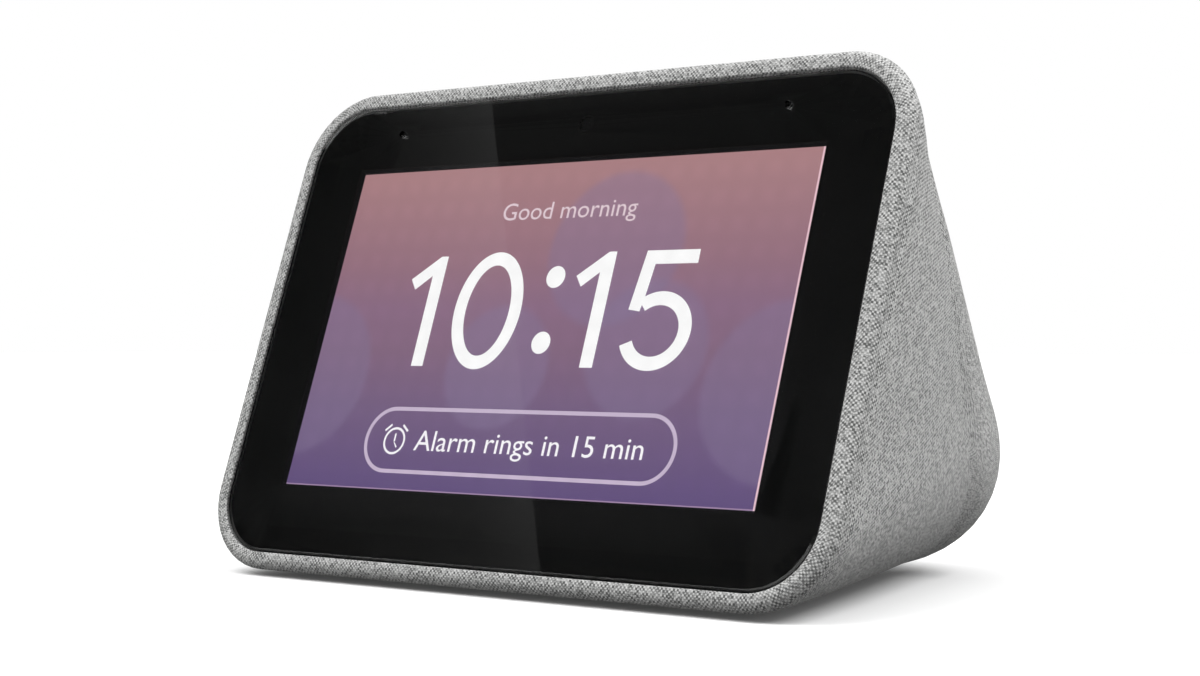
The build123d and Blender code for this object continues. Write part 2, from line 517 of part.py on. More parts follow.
# ---------------------------------------------------------------- volume keys
STROKE = 0.25
key_board = extrude(rear_plane(KEY_BOARD_NEAR, 0, KEY_UP) * RectangleRounded(50, 7, 1),
                    KEY_BOARD_NEAR - KEY_BOARD_FAR)
parts["key_board"] = key_board
switches = []
for name, x in (("volume_down", -KEY_X), ("volume_up", KEY_X)):
    key = key_prism(0, -KEY_PROUD, LINING + 0.1, x) + key_prism(1.0, LINING + 0.1, 3.8, x)
    key += rear_rod(1.5, 3.8, 4.6, x, KEY_UP)
    face = rear_plane(-KEY_PROUD, x, KEY_UP)
    key -= extrude(face * Rectangle(3.6, 0.7), -STROKE)
    if name == "volume_up":
        key -= extrude(face * Rectangle(0.7, 3.6), -STROKE)
    parts[name + "_key"] = key
    parts[name + "_plunger"] = rear_rod(0.9, 4.6, 5.8, x, KEY_UP)
    case = extrude(rear_plane(5.0, x, KEY_UP) * Rectangle(5, 5), -2)
    switches.append(case - rear_rod(1.0, 4, 6.25, x, KEY_UP))
parts["key_switches"] = Compound([solid for case in switches for solid in case.solids()])

# ---------------------------------------------------------------- base
PLATE_TOP = UNDERSIDE + 2
FOOT_TOP = 1.2
plate = base_slab(0.15, 5.85, UNDERSIDE, PLATE_TOP)
ring = base_slab(2.5, 5, 0, FOOT_TOP) - base_slab(9.5, 2, -1, 2)
plate -= base_slab(2.4, 5.1, 0, FOOT_TOP) - base_slab(9.6, 1.9, -1, 2)
base_screws = []
for x, y in BASE_SCREWS:
    plate -= extrude(Plane.XY.offset(0) * Pos(x, y) * Circle(SCREW_HEAD_R + 0.15), FOOT_TOP + 1.0)
    plate -= extrude(Plane.XY.offset(0) * Pos(x, y) * Circle(SCREW_R + 0.15), 4)
    head = extrude(Plane.XY.offset(FOOT_TOP) * Pos(x, y) * Circle(SCREW_HEAD_R), 1.0)
    socket = extrude(Plane.XY.offset(FOOT_TOP) * Pos(x, y) * Circle(0.6), 0.5)
    base_screws.append(head - socket + extrude(Plane.XY.offset(FOOT_TOP + 1) * Pos(x, y) * Circle(SCREW_R),
                                               BASE_SCREW_TOP - FOOT_TOP - 1))
parts["base_plate"] = plate
parts["rubber_foot"] = ring
parts["base_screws"] = Compound([solid for screw in base_screws for solid in screw.solids()])

for name, part in parts.items():
    export_step(part, "parts/" + name + ".step")
print(len(parts), "nodes; rear slope leans", round(REAR, 2), "from the table's depth direction")
print("face centre", round(FACE_Y, 3), round(FACE_Z, 3), "slope foot", SLOPE_LOW, "driver", DRIVER_CENTRE)
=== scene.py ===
import json
from math import acos, atan2, cos, degrees, hypot, pi, radians, sin

import bmesh
import bpy
import numpy as np
from mathutils import Matrix, Vector


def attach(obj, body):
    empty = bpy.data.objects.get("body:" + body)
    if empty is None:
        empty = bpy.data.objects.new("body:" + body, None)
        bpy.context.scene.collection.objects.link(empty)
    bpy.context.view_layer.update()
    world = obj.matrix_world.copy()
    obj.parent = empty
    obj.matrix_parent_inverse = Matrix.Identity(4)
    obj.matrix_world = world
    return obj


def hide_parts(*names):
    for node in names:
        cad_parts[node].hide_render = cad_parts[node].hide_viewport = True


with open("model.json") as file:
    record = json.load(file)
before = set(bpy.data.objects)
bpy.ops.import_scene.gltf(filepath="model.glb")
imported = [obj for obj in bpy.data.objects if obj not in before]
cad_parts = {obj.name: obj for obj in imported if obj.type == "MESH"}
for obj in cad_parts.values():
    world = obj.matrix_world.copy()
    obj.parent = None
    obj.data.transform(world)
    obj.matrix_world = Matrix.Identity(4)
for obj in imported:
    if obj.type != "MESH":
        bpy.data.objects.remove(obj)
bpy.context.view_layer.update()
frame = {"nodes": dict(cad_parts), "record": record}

# Smart display speaker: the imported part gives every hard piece, and this script adds the woven
# cover, the lit picture on the screen and the finish of each material.
# Shapes are worked out in millimetres and put into the meshes in metres.
MM = 0.001

# ---------------------------------------------------------------- sizes of the wedge, mm
DEPTH = 79.0
FACE_LEAN = 20.0
HALF_WIDTH = 57.0
HALF_HEIGHT = 39.8
FACE_CORNER_R = 12.6
RIM_R = 1.6
RIDGE_R = 7.0
TAIL_R = 17.0
LAST_TOP_HALF, LAST_LOW_HALF = 52.0, 47.7
LAST_TOP_R, LAST_LOW_R = 13.0, 22.5
TAPER_POWER = 1.4
CLOSE_TOP, CLOSE_LOW, CLOSE_DOWN = 12.5, 10.2, 9.7
CAP_CORNER_R = 7.0
UNDERSIDE = 0.9
CLOTH_T = 0.8
SCREEN_DROP = 0.25

SIN, COS = sin(radians(FACE_LEAN)), cos(radians(FACE_LEAN))
RIM_RUN = HALF_HEIGHT - RIM_R
FACE_Z = UNDERSIDE + RIM_R + RIM_RUN * COS + RIM_R * SIN
FACE_Y = -DEPTH / 2 + RIM_R + RIM_RUN * SIN - RIM_R * COS


def face_point(up, depth):
    """Y and Z of points `up` the face from its centre and `depth` behind it."""
    return FACE_Y + up * SIN + depth * COS, FACE_Z + up * COS - depth * SIN


def step(point, radius, angle):
    """Y and Z at `radius` from `point`, in the direction of `angle` degrees."""
    turn = np.radians(angle)
    return point[0] + radius * np.cos(turn), point[1] + radius * np.sin(turn)


def between(start, end, share):
    """The value that lies `share` of the way from `start` to `end`."""
    return start + (end - start) * share


LOW_RIM = face_point(-RIM_RUN, RIM_R)
HIGH_RIM = face_point(RIM_RUN, RIM_R)
RIDGE = step(HIGH_RIM, RIM_R - RIDGE_R, 90 - FACE_LEAN)
TAIL = (DEPTH / 2 - TAIL_R, UNDERSIDE + TAIL_R)
RUN = (TAIL[0] - RIDGE[0], TAIL[1] - RIDGE[1])
REAR = degrees(acos((RIDGE_R - TAIL_R) / hypot(*RUN)) + atan2(RUN[1], RUN[0]))
REAR_SIN, REAR_COS = sin(radians(REAR)), cos(radians(REAR))
SLOPE_LOW = step(TAIL, TAIL_R, REAR)


# ---------------------------------------------------------------- the cloth's surface
def columns(*values):
    """The values side by side as columns, each stretched to the longest."""
    return np.column_stack(np.broadcast_arrays(*values))


def face_rows(depth, half_width, half_height, corner, drop):
    """Outlines parallel to the face. A row holds the top's Y and Z, the bottom's Y and Z,
    the half widths at the top and bottom, and the corner radii at the top and bottom."""
    top = face_point(half_height - drop, depth)
    bottom = face_point(-half_height - drop, depth)
    return columns(*top, *bottom, half_width, half_width, corner, corner)


WELL_HALF_W, WELL_HALF_H, WELL_R = 54.25, 37.15, 9.85
LIP_R = 0.3


def lip_rows():
    """The cloth turned into the glass's well: straight up the wall, then a quarter round of
    LIP_R, whose depth is LIP_R times one minus the sine of the turn and whose growth is
    LIP_R times one minus its cosine."""
    wall = face_rows(np.array([0.9, 0.6, 0.42]), WELL_HALF_W, WELL_HALF_H, WELL_R, SCREEN_DROP)
    turn = np.radians(np.linspace(0, 90, 5))
    grow = LIP_R * (1 - np.cos(turn))
    depth = LIP_R * (1 - np.sin(turn))
    roll = face_rows(depth, WELL_HALF_W + grow, WELL_HALF_H + grow, WELL_R + grow, SCREEN_DROP)
    return np.vstack([wall, roll])


def rim_rows():
    """The rim's quarter round: with the turn from 0 to 90 degrees, the depth is RIM_R times one
    minus its cosine, and the outline is smaller by RIM_R times one minus its sine."""
    turn = np.radians(np.linspace(0, 90, 12))
    depth = RIM_R * (1 - np.cos(turn))
    grow = RIM_R * (np.sin(turn) - 1)
    return face_rows(depth, HALF_WIDTH + grow, HALF_HEIGHT + grow, FACE_CORNER_R + grow, 0)


HINGE_PARTS = 7             # the heel takes the first of these parts of the hinging, the sides the rest
HINGE_POWER = 1.7           # how much closer together the outlines are behind the rim


def side_rows(count=60):
    """Outlines whose planes hinge about the ridge, closer together behind the rim. The top goes
    round the ridge, and the bottom goes round the heel and then straight back along the
    underside, while the outline narrows with a power of the way back."""
    place = HINGE_PARTS * (np.arange(1, count + 1) / count) ** HINGE_POWER - 1
    share = np.clip(place, 0, None) / (HINGE_PARTS - 1)
    late = share ** TAPER_POWER
    top = step(RIDGE, RIDGE_R, between(90 - FACE_LEAN, REAR, (place + 1) / HINGE_PARTS))
    heel = step(LOW_RIM, RIM_R, between(250, 270, np.clip(place + 1, 0, 1)))
    bottom_y = np.where(place < 0, heel[0], between(LOW_RIM[0], TAIL[0], share))
    bottom_z = np.where(place < 0, heel[1], UNDERSIDE)
    return columns(*top, bottom_y, bottom_z,
                   between(HALF_WIDTH, LAST_TOP_HALF, late), between(HALF_WIDTH, LAST_LOW_HALF, late),
                   between(FACE_CORNER_R, LAST_TOP_R, np.sqrt(share)),
                   between(FACE_CORNER_R, LAST_LOW_R, share))


def rear_rows(count=22):
    """Outlines that close round the tail on to the flat rear slope. What they have turned in is
    one minus the cosine of a quarter turn's share."""
    share = np.arange(1, count + 1) / count
    turned_in = 1 - np.cos(np.radians(90 * share))
    shoulder = step(RIDGE, RIDGE_R, REAR)
    down = CLOSE_DOWN * turned_in
    bottom = step(TAIL, TAIL_R, between(-90, REAR, share))
    return columns(shoulder[0] + down * REAR_SIN, shoulder[1] - down * REAR_COS, *bottom,
                   LAST_TOP_HALF - CLOSE_TOP * turned_in, LAST_LOW_HALF - CLOSE_LOW * turned_in,
                   between(LAST_TOP_R, CAP_CORNER_R, share), between(LAST_LOW_R, CAP_CORNER_R, share))


def cap_rows(last, count=16):
    """The flat rear panel: the last outline drawn in towards its middle in even steps."""
    keep = (1 - np.arange(1, count) / count)[:, None]
    middle = np.tile((last[0:2] + last[2:4]) / 2, 2)
    return np.hstack([middle + (last[0:4] - middle) * keep, last[4:8] * keep])


def outline(rows, along=24, up=30, round_steps=12):
    """Points of each row's round-cornered trapezium, from the middle of its bottom side round to
    the right, as arrays of across and up. The slanted side leans by the angle whose tangent is
    the difference of the half widths over the height, and each corner's arc touches both of
    its sides."""
    top_half, low_half, top_r, low_r = (rows[:, k:k + 1] for k in (4, 5, 6, 7))
    height = np.hypot(rows[:, 0:1] - rows[:, 2:3], rows[:, 1:2] - rows[:, 3:4])
    lean = np.arctan2(top_half - low_half, height)
    slope = (top_half - low_half) / height
    low_x = low_half + slope * low_r - low_r / np.cos(lean)
    top_x = low_half + slope * (height - top_r) - top_r / np.cos(lean)
    turn = np.linspace(0, 1, round_steps + 1)
    low_turn = between(-pi / 2, -lean, turn)
    top_turn = between(-lean, pi / 2, turn)
    low_arc = (low_x + low_r * np.cos(low_turn), low_r + low_r * np.sin(low_turn))
    top_arc = (top_x + top_r * np.cos(top_turn), height - top_r + top_r * np.sin(top_turn))
    out = np.linspace(0, 1, along + 1)[:-1]
    rise = np.linspace(0, 1, up + 1)[1:-1]
    back = np.linspace(1, 0, along + 1)[1:]
    x = np.hstack([low_x * out, low_arc[0], between(low_arc[0][:, -1:], top_arc[0][:, :1], rise),
                   top_arc[0], top_x * back])
    y = np.hstack([0 * out + 0 * low_x, low_arc[1], between(low_arc[1][:, -1:], top_arc[1][:, :1], rise),
                   top_arc[1], height + 0 * back])
    return np.hstack([x, -x[:, -2:0:-1]]), np.hstack([y, y[:, -2:0:-1]]), x.shape[1] - 1


def new_mesh(name, points, faces):
    """A mesh object from points in millimetres, at the origin, smooth all over."""
    mesh = bpy.data.meshes.new(name)
    mesh.from_pydata((np.asarray(points) * MM).tolist(), [], faces)
    mesh.polygons.foreach_set("use_smooth", np.ones(len(mesh.polygons), bool))
    mesh.update()
    piece = bpy.data.objects.new(name, mesh)
    bpy.context.scene.collection.objects.link(piece)
    return piece


def prism(name, across, up, place, near, far):
    """A closed prism: one outline at the `near` and the `far` distance, with `place` turning
    across, up and distance into a point."""
    count = len(across)
    points = np.vstack([place(across, up, near), place(across, up, far)])
    here = np.arange(count)
    there = np.roll(here, -1)
    walls = np.column_stack([here, there, there + count, here + count]).tolist()
    cutter = new_mesh(name, points, walls + [here[::-1].tolist(), (here + count).tolist()])
    tidy_normals(cutter)
    return cutter


def tidy_normals(piece):
    """Turns the faces of a closed mesh outwards."""
    work = bmesh.new()
    work.from_mesh(piece.data)
    bmesh.ops.recalc_face_normals(work, faces=work.faces)
    work.to_mesh(piece.data)
    work.free()


def simple_outline(half_low, half_top, radius, height):
    """Across and up of one round-cornered trapezium, its bottom side on the first axis."""
    row = np.array([[0, height, 0, 0, half_top, half_low, radius, radius]], float)
    across, up, _ = outline(row, along=4, up=4, round_steps=10)
    return across[0], up[0]


def on_slope(across, up, depth):
    """Points `up` the rear slope from its lower end and `depth` inside it."""
    y = SLOPE_LOW[0] - up * REAR_SIN - depth * REAR_COS
    z = SLOPE_LOW[1] + up * REAR_COS - depth * REAR_SIN
    return columns(across, y, z)


def in_plan(across, along, height):
    """Points on a level plane."""
    return columns(across, along, height)


def upright(across, up, depth):
    """Points on an upright plane that faces the rear."""
    return columns(across, depth, up)


BASE_FRONT, BASE_BACK, BASE_FRONT_HALF, BASE_BACK_HALF, BASE_R = -30.3, 14.3, 38.8, 26.3, 6.3
PORT_HALF_W, PORT_HALF_H, PORT_R = 24.3, 6.8, 3.3
KEY_X, KEY_UP, KEY_HALF_W, KEY_HALF_H = 12.5, 50.5, 7.75, 3.45
KEY_R = KEY_HALF_H - 0.01   # all but a half round, so that a short straight side is left
CREASE_DEPTH, CREASE_WIDTH, CREASE_IN = 2.5, 0.55, 0.22
# Under the top corners the shell is a little hollow, and the stretched cloth bridges it
HOLLOW_Z, HOLLOW_REACH = 47.0, 26.0
HOLLOW_FROM_FACE = 25.0     # depth behind the face from which the cloth stands off in full
HOLLOW_BRIDGED = 1.15       # how far it would stand off at the face's half width
WEAVE_SPAN = 400.0          # millimetres of cloth across the whole of its UV map
SLOPE_SHIFT = 150.0         # where the rear panel's part of the UV map lies


def cover_points():
    """The cloth's grid: the points, their depth behind the face, the last rows of the rim and of
    the sides, the first row of the flat panel and the column at the top's middle.
    Along the crease behind the rim, the cloth is sunk by a bell curve of the depth. Over the
    shell's hollow, its width grows by the square of a parabola in the height, times the depth's
    share of HOLLOW_FROM_FACE."""
    flat = between(lip_rows()[-1], rim_rows()[0], np.array([[0.33], [0.66]]))
    front = np.vstack([lip_rows(), flat, rim_rows()])
    sides = np.vstack([front, side_rows()])
    round_tail = np.vstack([sides, rear_rows()])
    rows = np.vstack([round_tail, cap_rows(round_tail[-1])])
    across, up, top_column = outline(rows)
    rise = (rows[:, 0:2] - rows[:, 2:4]) / np.hypot(*(rows[:, 0:2] - rows[:, 2:4]).T)[:, None]
    points = np.stack([across, rows[:, 2:3] + up * rise[:, 0:1], rows[:, 3:4] + up * rise[:, 1:2]], axis=2)

    depth = (points[..., 1] - FACE_Y) * COS - (points[..., 2] - FACE_Z) * SIN
    tangent = np.roll(points, -1, axis=1) - np.roll(points, 1, axis=1)
    normal = np.cross(np.gradient(points, axis=0), tangent)
    normal /= np.linalg.norm(normal, axis=2, keepdims=True) + 1e-9
    outwards = np.sign((normal[..., 0] * points[..., 0]).sum())
    dip = CREASE_IN * np.exp(-((depth - CREASE_DEPTH) / CREASE_WIDTH) ** 2)
    first_cap = len(round_tail)
    points[:first_cap] -= (normal * outwards * dip[..., None])[:first_cap]

    level = np.clip(1 - ((points[..., 2] - HOLLOW_Z) / HOLLOW_REACH) ** 2, 0, 1) ** 2
    level *= np.clip(depth / HOLLOW_FROM_FACE, 0, 1)
    points[..., 0] += HOLLOW_BRIDGED * level * points[..., 0] / HALF_WIDTH
    return points, depth, len(front) - 1, len(sides) - 1, first_cap, top_column


def closed(grid):
    """The grid with its first column repeated after its last."""
    return np.hstack([grid, grid[:, :1]])


def unrolled_sides(points, depth, rim_end, top_column):
    """The sides laid flat: one way is the depth behind the face, and the other is the length
    along the outline from the top's middle, square to the depth. The threads cross the rim
    squarely, close together at its corners."""
    count_rows, count_columns = depth.shape
    run = np.linalg.norm(np.diff(points, axis=0), axis=2)
    v = np.vstack([np.zeros((1, count_columns)), np.cumsum(run, axis=0)])
    v[rim_end + 1:] = v[rim_end] + depth[rim_end + 1:] - RIM_R
    ring = np.linalg.norm(np.roll(points, -1, axis=1) - points, axis=2)
    back = np.roll(depth, -1, axis=1) - depth
    square = np.sqrt(np.clip(ring ** 2 - back ** 2, 0, None))
    u = np.hstack([np.zeros((count_rows, 1)), np.cumsum(square, axis=1)])
    u -= u[:, top_column:top_column + 1]
    u[:rim_end] = u[rim_end]
    return u, closed(v)


def unrolled_rear(points, side_end, first_cap):
    """The rear laid flat: the flat panel's own plane, with the round edge unrolled outwards from
    the panel's outline by the length along each column."""
    u = points[..., 0].copy()
    v = (points[..., 2] - SLOPE_LOW[1]) * REAR_COS - (points[..., 1] - SLOPE_LOW[0]) * REAR_SIN
    edge_u, edge_v = u[first_cap - 1], v[first_cap - 1]
    way_u, way_v = np.roll(edge_v, 1) - np.roll(edge_v, -1), np.roll(edge_u, -1) - np.roll(edge_u, 1)
    way = np.hypot(way_u, way_v) * np.sign((way_u * edge_u).sum())
    run = np.linalg.norm(np.diff(points, axis=0), axis=2)
    reach = np.cumsum(run[side_end:first_cap - 1][::-1], axis=0)[::-1]
    u[side_end:first_cap - 1] = edge_u + way_u / way * reach
    v[side_end:first_cap - 1] = edge_v + way_v / way * reach
    return closed(u), closed(v) + SLOPE_SHIFT


def corners(grid):
    """The four corner values of each face of a grid."""
    return np.stack([grid[:-1, :-1], grid[:-1, 1:], grid[1:, 1:], grid[1:, :-1]], axis=2)


def woven_cover():
    """The cloth: lip, rim, sides, rear and flat rear panel as one grid of outlines, closed at one
    pole. Its UV map is unrolled, as the sides' and the rear's functions say."""
    points, depth, rim_end, side_end, first_cap, top_column = cover_points()
    side_u, side_v = unrolled_sides(points, depth, rim_end, top_column)
    rear_u, rear_v = unrolled_rear(points, side_end, first_cap)

    count_rows, count_columns = depth.shape
    here = np.arange(count_columns)
    there = (here + 1) % count_columns
    row = np.arange(count_rows - 1)[:, None] * count_columns
    quads = np.stack([row + here, row + there, row + there + count_columns,
                      row + here + count_columns], axis=2)
    pole = count_rows * count_columns
    last = (count_rows - 1) * count_columns
    fan = np.column_stack([last + here, last + there, np.full(count_columns, pole)])
    points = points.reshape(-1, 3)
    points = np.vstack([points, points[last:].mean(axis=0)])
    cloth = new_mesh("woven_cover", points, quads.reshape(-1, 4).tolist() + fan.tolist())

    rear = (np.arange(count_rows - 1) >= side_end)[:, None, None]
    corner_u = np.where(rear, corners(rear_u), corners(side_u)).reshape(-1)
    corner_v = np.where(rear, corners(rear_v), corners(side_v)).reshape(-1)
    fan_u = np.column_stack([rear_u[-1, :-1], rear_u[-1, 1:], np.zeros(count_columns)]).reshape(-1)
    fan_v = np.column_stack([rear_v[-1, :-1], rear_v[-1, 1:],
                             np.full(count_columns, rear_v[-1].mean())]).reshape(-1)
    uv = np.column_stack([np.concatenate([corner_u, fan_u]) / WEAVE_SPAN + 0.5,
                          np.concatenate([corner_v, fan_v]) / WEAVE_SPAN])
    cloth.data.uv_layers.new(name="weave").data.foreach_set("uv", uv.reshape(-1))
    if normal_side(cloth) < 0:
        cloth.data.flip_normals()
    return cloth


def normal_side(piece):
    """Positive where the faces of a piece point away from the middle of its box."""
    count = len(piece.data.polygons)
    centre, normal = np.empty(count * 3), np.empty(count * 3)
    piece.data.polygons.foreach_get("center", centre)
    piece.data.polygons.foreach_get("normal", normal)
    middle = np.array([0, 0, FACE_Z * MM])
    return ((centre.reshape(-1, 3) - middle) * normal.reshape(-1, 3)).sum()


def cut_openings(cloth):
    """Gives the cloth its thickness inwards and cuts the base, the ports and the keys out of it."""
    wall = cloth.modifiers.new("wall", "SOLIDIFY")
    wall.thickness = CLOTH_T * MM
    wall.offset = -1
    base = simple_outline(BASE_FRONT_HALF, BASE_BACK_HALF, BASE_R, BASE_BACK - BASE_FRONT)
    port = simple_outline(PORT_HALF_W, PORT_HALF_W, PORT_R, 2 * PORT_HALF_H)
    key = simple_outline(KEY_HALF_W, KEY_HALF_W, KEY_R, 2 * KEY_HALF_H)
    cutters = [prism("base_cutter", base[0], base[1] + BASE_FRONT, in_plan, -2, 3),
               prism("port_cutter", port[0], port[1] + TAIL[1] - PORT_HALF_H, upright, 30, 44)]
    for side in (-KEY_X, KEY_X):
        cutters.append(prism("key_cutter", key[0] + side, key[1] + KEY_UP - KEY_HALF_H, on_slope, -2, 4))
    for cutter in cutters:
        opening = cloth.modifiers.new(cutter.name, "BOOLEAN")
        opening.operation = "DIFFERENCE"
        opening.solver = "EXACT"
        opening.object = cutter
    bpy.context.view_layer.update()
    made = bpy.data.meshes.new_from_object(cloth.evaluated_get(bpy.context.evaluated_depsgraph_get()))
    made.name = "woven_cover"
    cloth.modifiers.clear()
    cloth.data = made
    made.polygons.foreach_set("use_smooth", np.ones(len(made.polygons), bool))
    made.set_sharp_from_angle(angle=radians(50))
    for cutter in cutters:
        bpy.data.objects.remove(cutter)


# ---------------------------------------------------------------- the lit picture's pieces
SCREEN_Y, SCREEN_Z = face_point(-SCREEN_DROP, 0)
PICTURE_DEPTH = 1.78        # between the touch film and the screen's front
TURN = np.linspace(0, 2 * pi, 97)


def on_screen(across, up, depth=PICTURE_DEPTH):
    """Points of the screen's plane: across and up from the screen's centre."""
    y = SCREEN_Y + up * SIN + depth * COS
    z = SCREEN_Z + up * COS - depth * SIN
    return columns(across, y, z)


class Drawing:
    """Flat shapes of one piece on the screen, gathered as points and faces."""

    def __init__(self):
        self.points, self.faces, self.count = [], [], 0

    def add(self, across, up, faces):
        self.points.append(np.column_stack([across, up]))
        self.faces += [[self.count + corner for corner in face] for face in faces]
        self.count += len(across)

    def patch(self, corners):
        """A filled outline, from its corners in order."""
        corners = np.array(corners, float)
        self.add(corners[:, 0], corners[:, 1], [list(range(len(corners)))])

    def band(self, centre, half, stroke, start=0, end=360):
        """Part of an oval ring: both edges are ovals about one centre, half a stroke outside and
        inside the half sizes given. `stroke` holds its width across and up."""
        turn = np.radians(np.linspace(start, end, 97))
        edges = []
        for side in (0.5, -0.5):
            edges.append((centre[0] + (half[0] + side * stroke[0]) * np.cos(turn),
                          centre[1] + (half[1] + side * stroke[1]) * np.sin(turn)))
        self.strip(*edges)

    def strip(self, outer, inner):
        """The strip of faces between two lines of as many points."""
        count = len(outer[0])
        here = np.arange(count - 1)
        faces = np.column_stack([here, here + 1, here + 1 + count, here + count]).tolist()
        self.add(np.concatenate([outer[0], inner[0]]), np.concatenate([outer[1], inner[1]]), faces)

    def disc(self, centre, radius):
        """A filled circle."""
        turn = TURN[:-1:3]
        self.patch(np.column_stack([centre[0] + radius * np.cos(turn), centre[1] + radius * np.sin(turn)]))

    def words(self, text, left, right, low, cap):
        """A line of letters from Blender's own font, set between two ends on a base line, with
        capitals `cap` tall."""
        letters = bpy.data.curves.new("letters", "FONT")
        letters.body = text
        letters.resolution_u = 4
        holder = bpy.data.objects.new("letters", letters)
        bpy.context.scene.collection.objects.link(holder)
        bpy.context.view_layer.update()
        mesh = bpy.data.meshes.new_from_object(
            holder.evaluated_get(bpy.context.evaluated_depsgraph_get()))
        place = np.empty(len(mesh.vertices) * 3)
        mesh.vertices.foreach_get("co", place)
        place = place.reshape(-1, 3)
        faces = [list(face.vertices) for face in mesh.polygons]
        bpy.data.objects.remove(holder)
        width = place[:, 0].max() - place[:, 0].min()
        tall = place[:, 1].max()
        self.add(left + (place[:, 0] - place[:, 0].min()) * (right - left) / width,
                 low + place[:, 1] * cap / tall, faces)

    def finish(self, name, depth=PICTURE_DEPTH):
        """The gathered shapes as one piece whose faces look out of the screen."""
        flat = np.vstack(self.points)
        piece = new_mesh(name, on_screen(flat[:, 0], flat[:, 1], depth), self.faces)
        outward = np.array([0, -COS, SIN])
        normals = np.empty(len(piece.data.polygons) * 3)
        piece.data.polygons.foreach_get("normal", normals)
        wrong = normals.reshape(-1, 3) @ outward < 0
        work = bmesh.new()
        work.from_mesh(piece.data)
        work.faces.ensure_lookup_table()
        bmesh.ops.reverse_faces(work, faces=[work.faces[k] for k in np.flatnonzero(wrong)])
        work.to_mesh(piece.data)
        work.free()
        return piece


DIGIT_LOW, DIGIT_TOP, STROKE = -6.47, 11.25, 2.33


def time_digits():
    """The time in thin upright digits: a one is a stem with a slanted flag, a nought is an oval
    ring, and a five is a bar, a stem and most of an oval ring."""
    drawing = Drawing()
    for right in (-20.93, 11.32):
        drawing.patch([(right, DIGIT_LOW), (right, DIGIT_TOP), (right - 1.35, DIGIT_TOP),
                       (right - 6.5, 7.6), (right - 5.3, 5.9), (right - STROKE, 8.1),
                       (right - STROKE, DIGIT_LOW)])
    drawing.band((-10.68, 2.39), (5.36, 8.23), (2.25, 2.12))
    drawing.disc((1.0, 7.5), 1.72)
    drawing.disc((1.0, -2.72), 1.72)
    drawing.patch([(16.75, DIGIT_TOP), (25.92, DIGIT_TOP), (25.92, 9.16), (18.62, 9.16),
                   (17.95, 3.75), (17.55, 2.0), (15.55, 2.3)])
    drawing.band((21.0, -0.92), (5.02, 4.88), (2.18, 2.08), 129, -158)
    return drawing.finish("time_digits")


def greeting_words():
    """The short greeting above the time."""
    drawing = Drawing()
    drawing.words("Good morning", -12.0, 13.2, 16.85, 2.75)
    return drawing.finish("greeting_words")


PILL_HALF_W, PILL_LOW, PILL_TOP, PILL_LINE = 28.6, -23.05, -13.3, 0.6


def alarm_pill():
    """The pill's outline: a strip between two pills, half a line outside and inside."""
    middle = (PILL_LOW + PILL_TOP) / 2
    radius = (PILL_TOP - PILL_LOW) / 2
    edges = []
    for side in (0.5, -0.5):
        reach = radius + side * PILL_LINE
        turn = np.radians(np.concatenate([np.linspace(-90, 90, 33), np.linspace(90, 270, 33), [270]]))
        centre = np.concatenate([np.full(33, 1.0), np.full(33, -1.0), [1.0]]) * (PILL_HALF_W - radius)
        edges.append((centre + reach * np.cos(turn), middle + reach * np.sin(turn)))
    drawing = Drawing()
    drawing.strip(*edges)
    return drawing.finish("alarm_pill")


def alarm_words():
    """The line of words in the pill, and a plain alarm clock before it: a ring, two hands and two
    short bars for its bells."""
    drawing = Drawing()
    drawing.words("Alarm rings in 15 min", -18.7, 23.4, -19.7, 3.1)
    centre = (-22.9, -18.35)
    drawing.band(centre, (1.95, 1.95), (0.36, 0.36))
    drawing.patch([(-23.02, -18.45), (-22.72, -18.45), (-22.72, -17.2), (-23.02, -17.2)])
    drawing.patch([(-22.98, -18.5), (-22.72, -18.6), (-22.1, -19.25), (-22.3, -19.45)])
    for side in (-1, 1):
        turn = np.radians(90 - side * 40)
        out, along = np.array([cos(turn), sin(turn)]), np.array([-sin(turn), cos(turn)])
        middle = np.array(centre) + out * 2.65
        drawing.patch([middle + out * a * 0.17 + along * b * 0.75 for a, b in
                       ((-1, -1), (1, -1), (1, 1), (-1, 1))])
    return drawing.finish("alarm_words")


# ---------------------------------------------------------------- shader building blocks
def tint(red, green, blue):
    """A colour as it looks, from 0 to 255, as the linear colour that shaders use."""
    shares = np.array([red, green, blue]) / 255
    linear = np.where(shares <= 0.04045, shares / 12.92, ((shares + 0.055) / 1.055) ** 2.4)
    return (*linear.tolist(), 1.0)


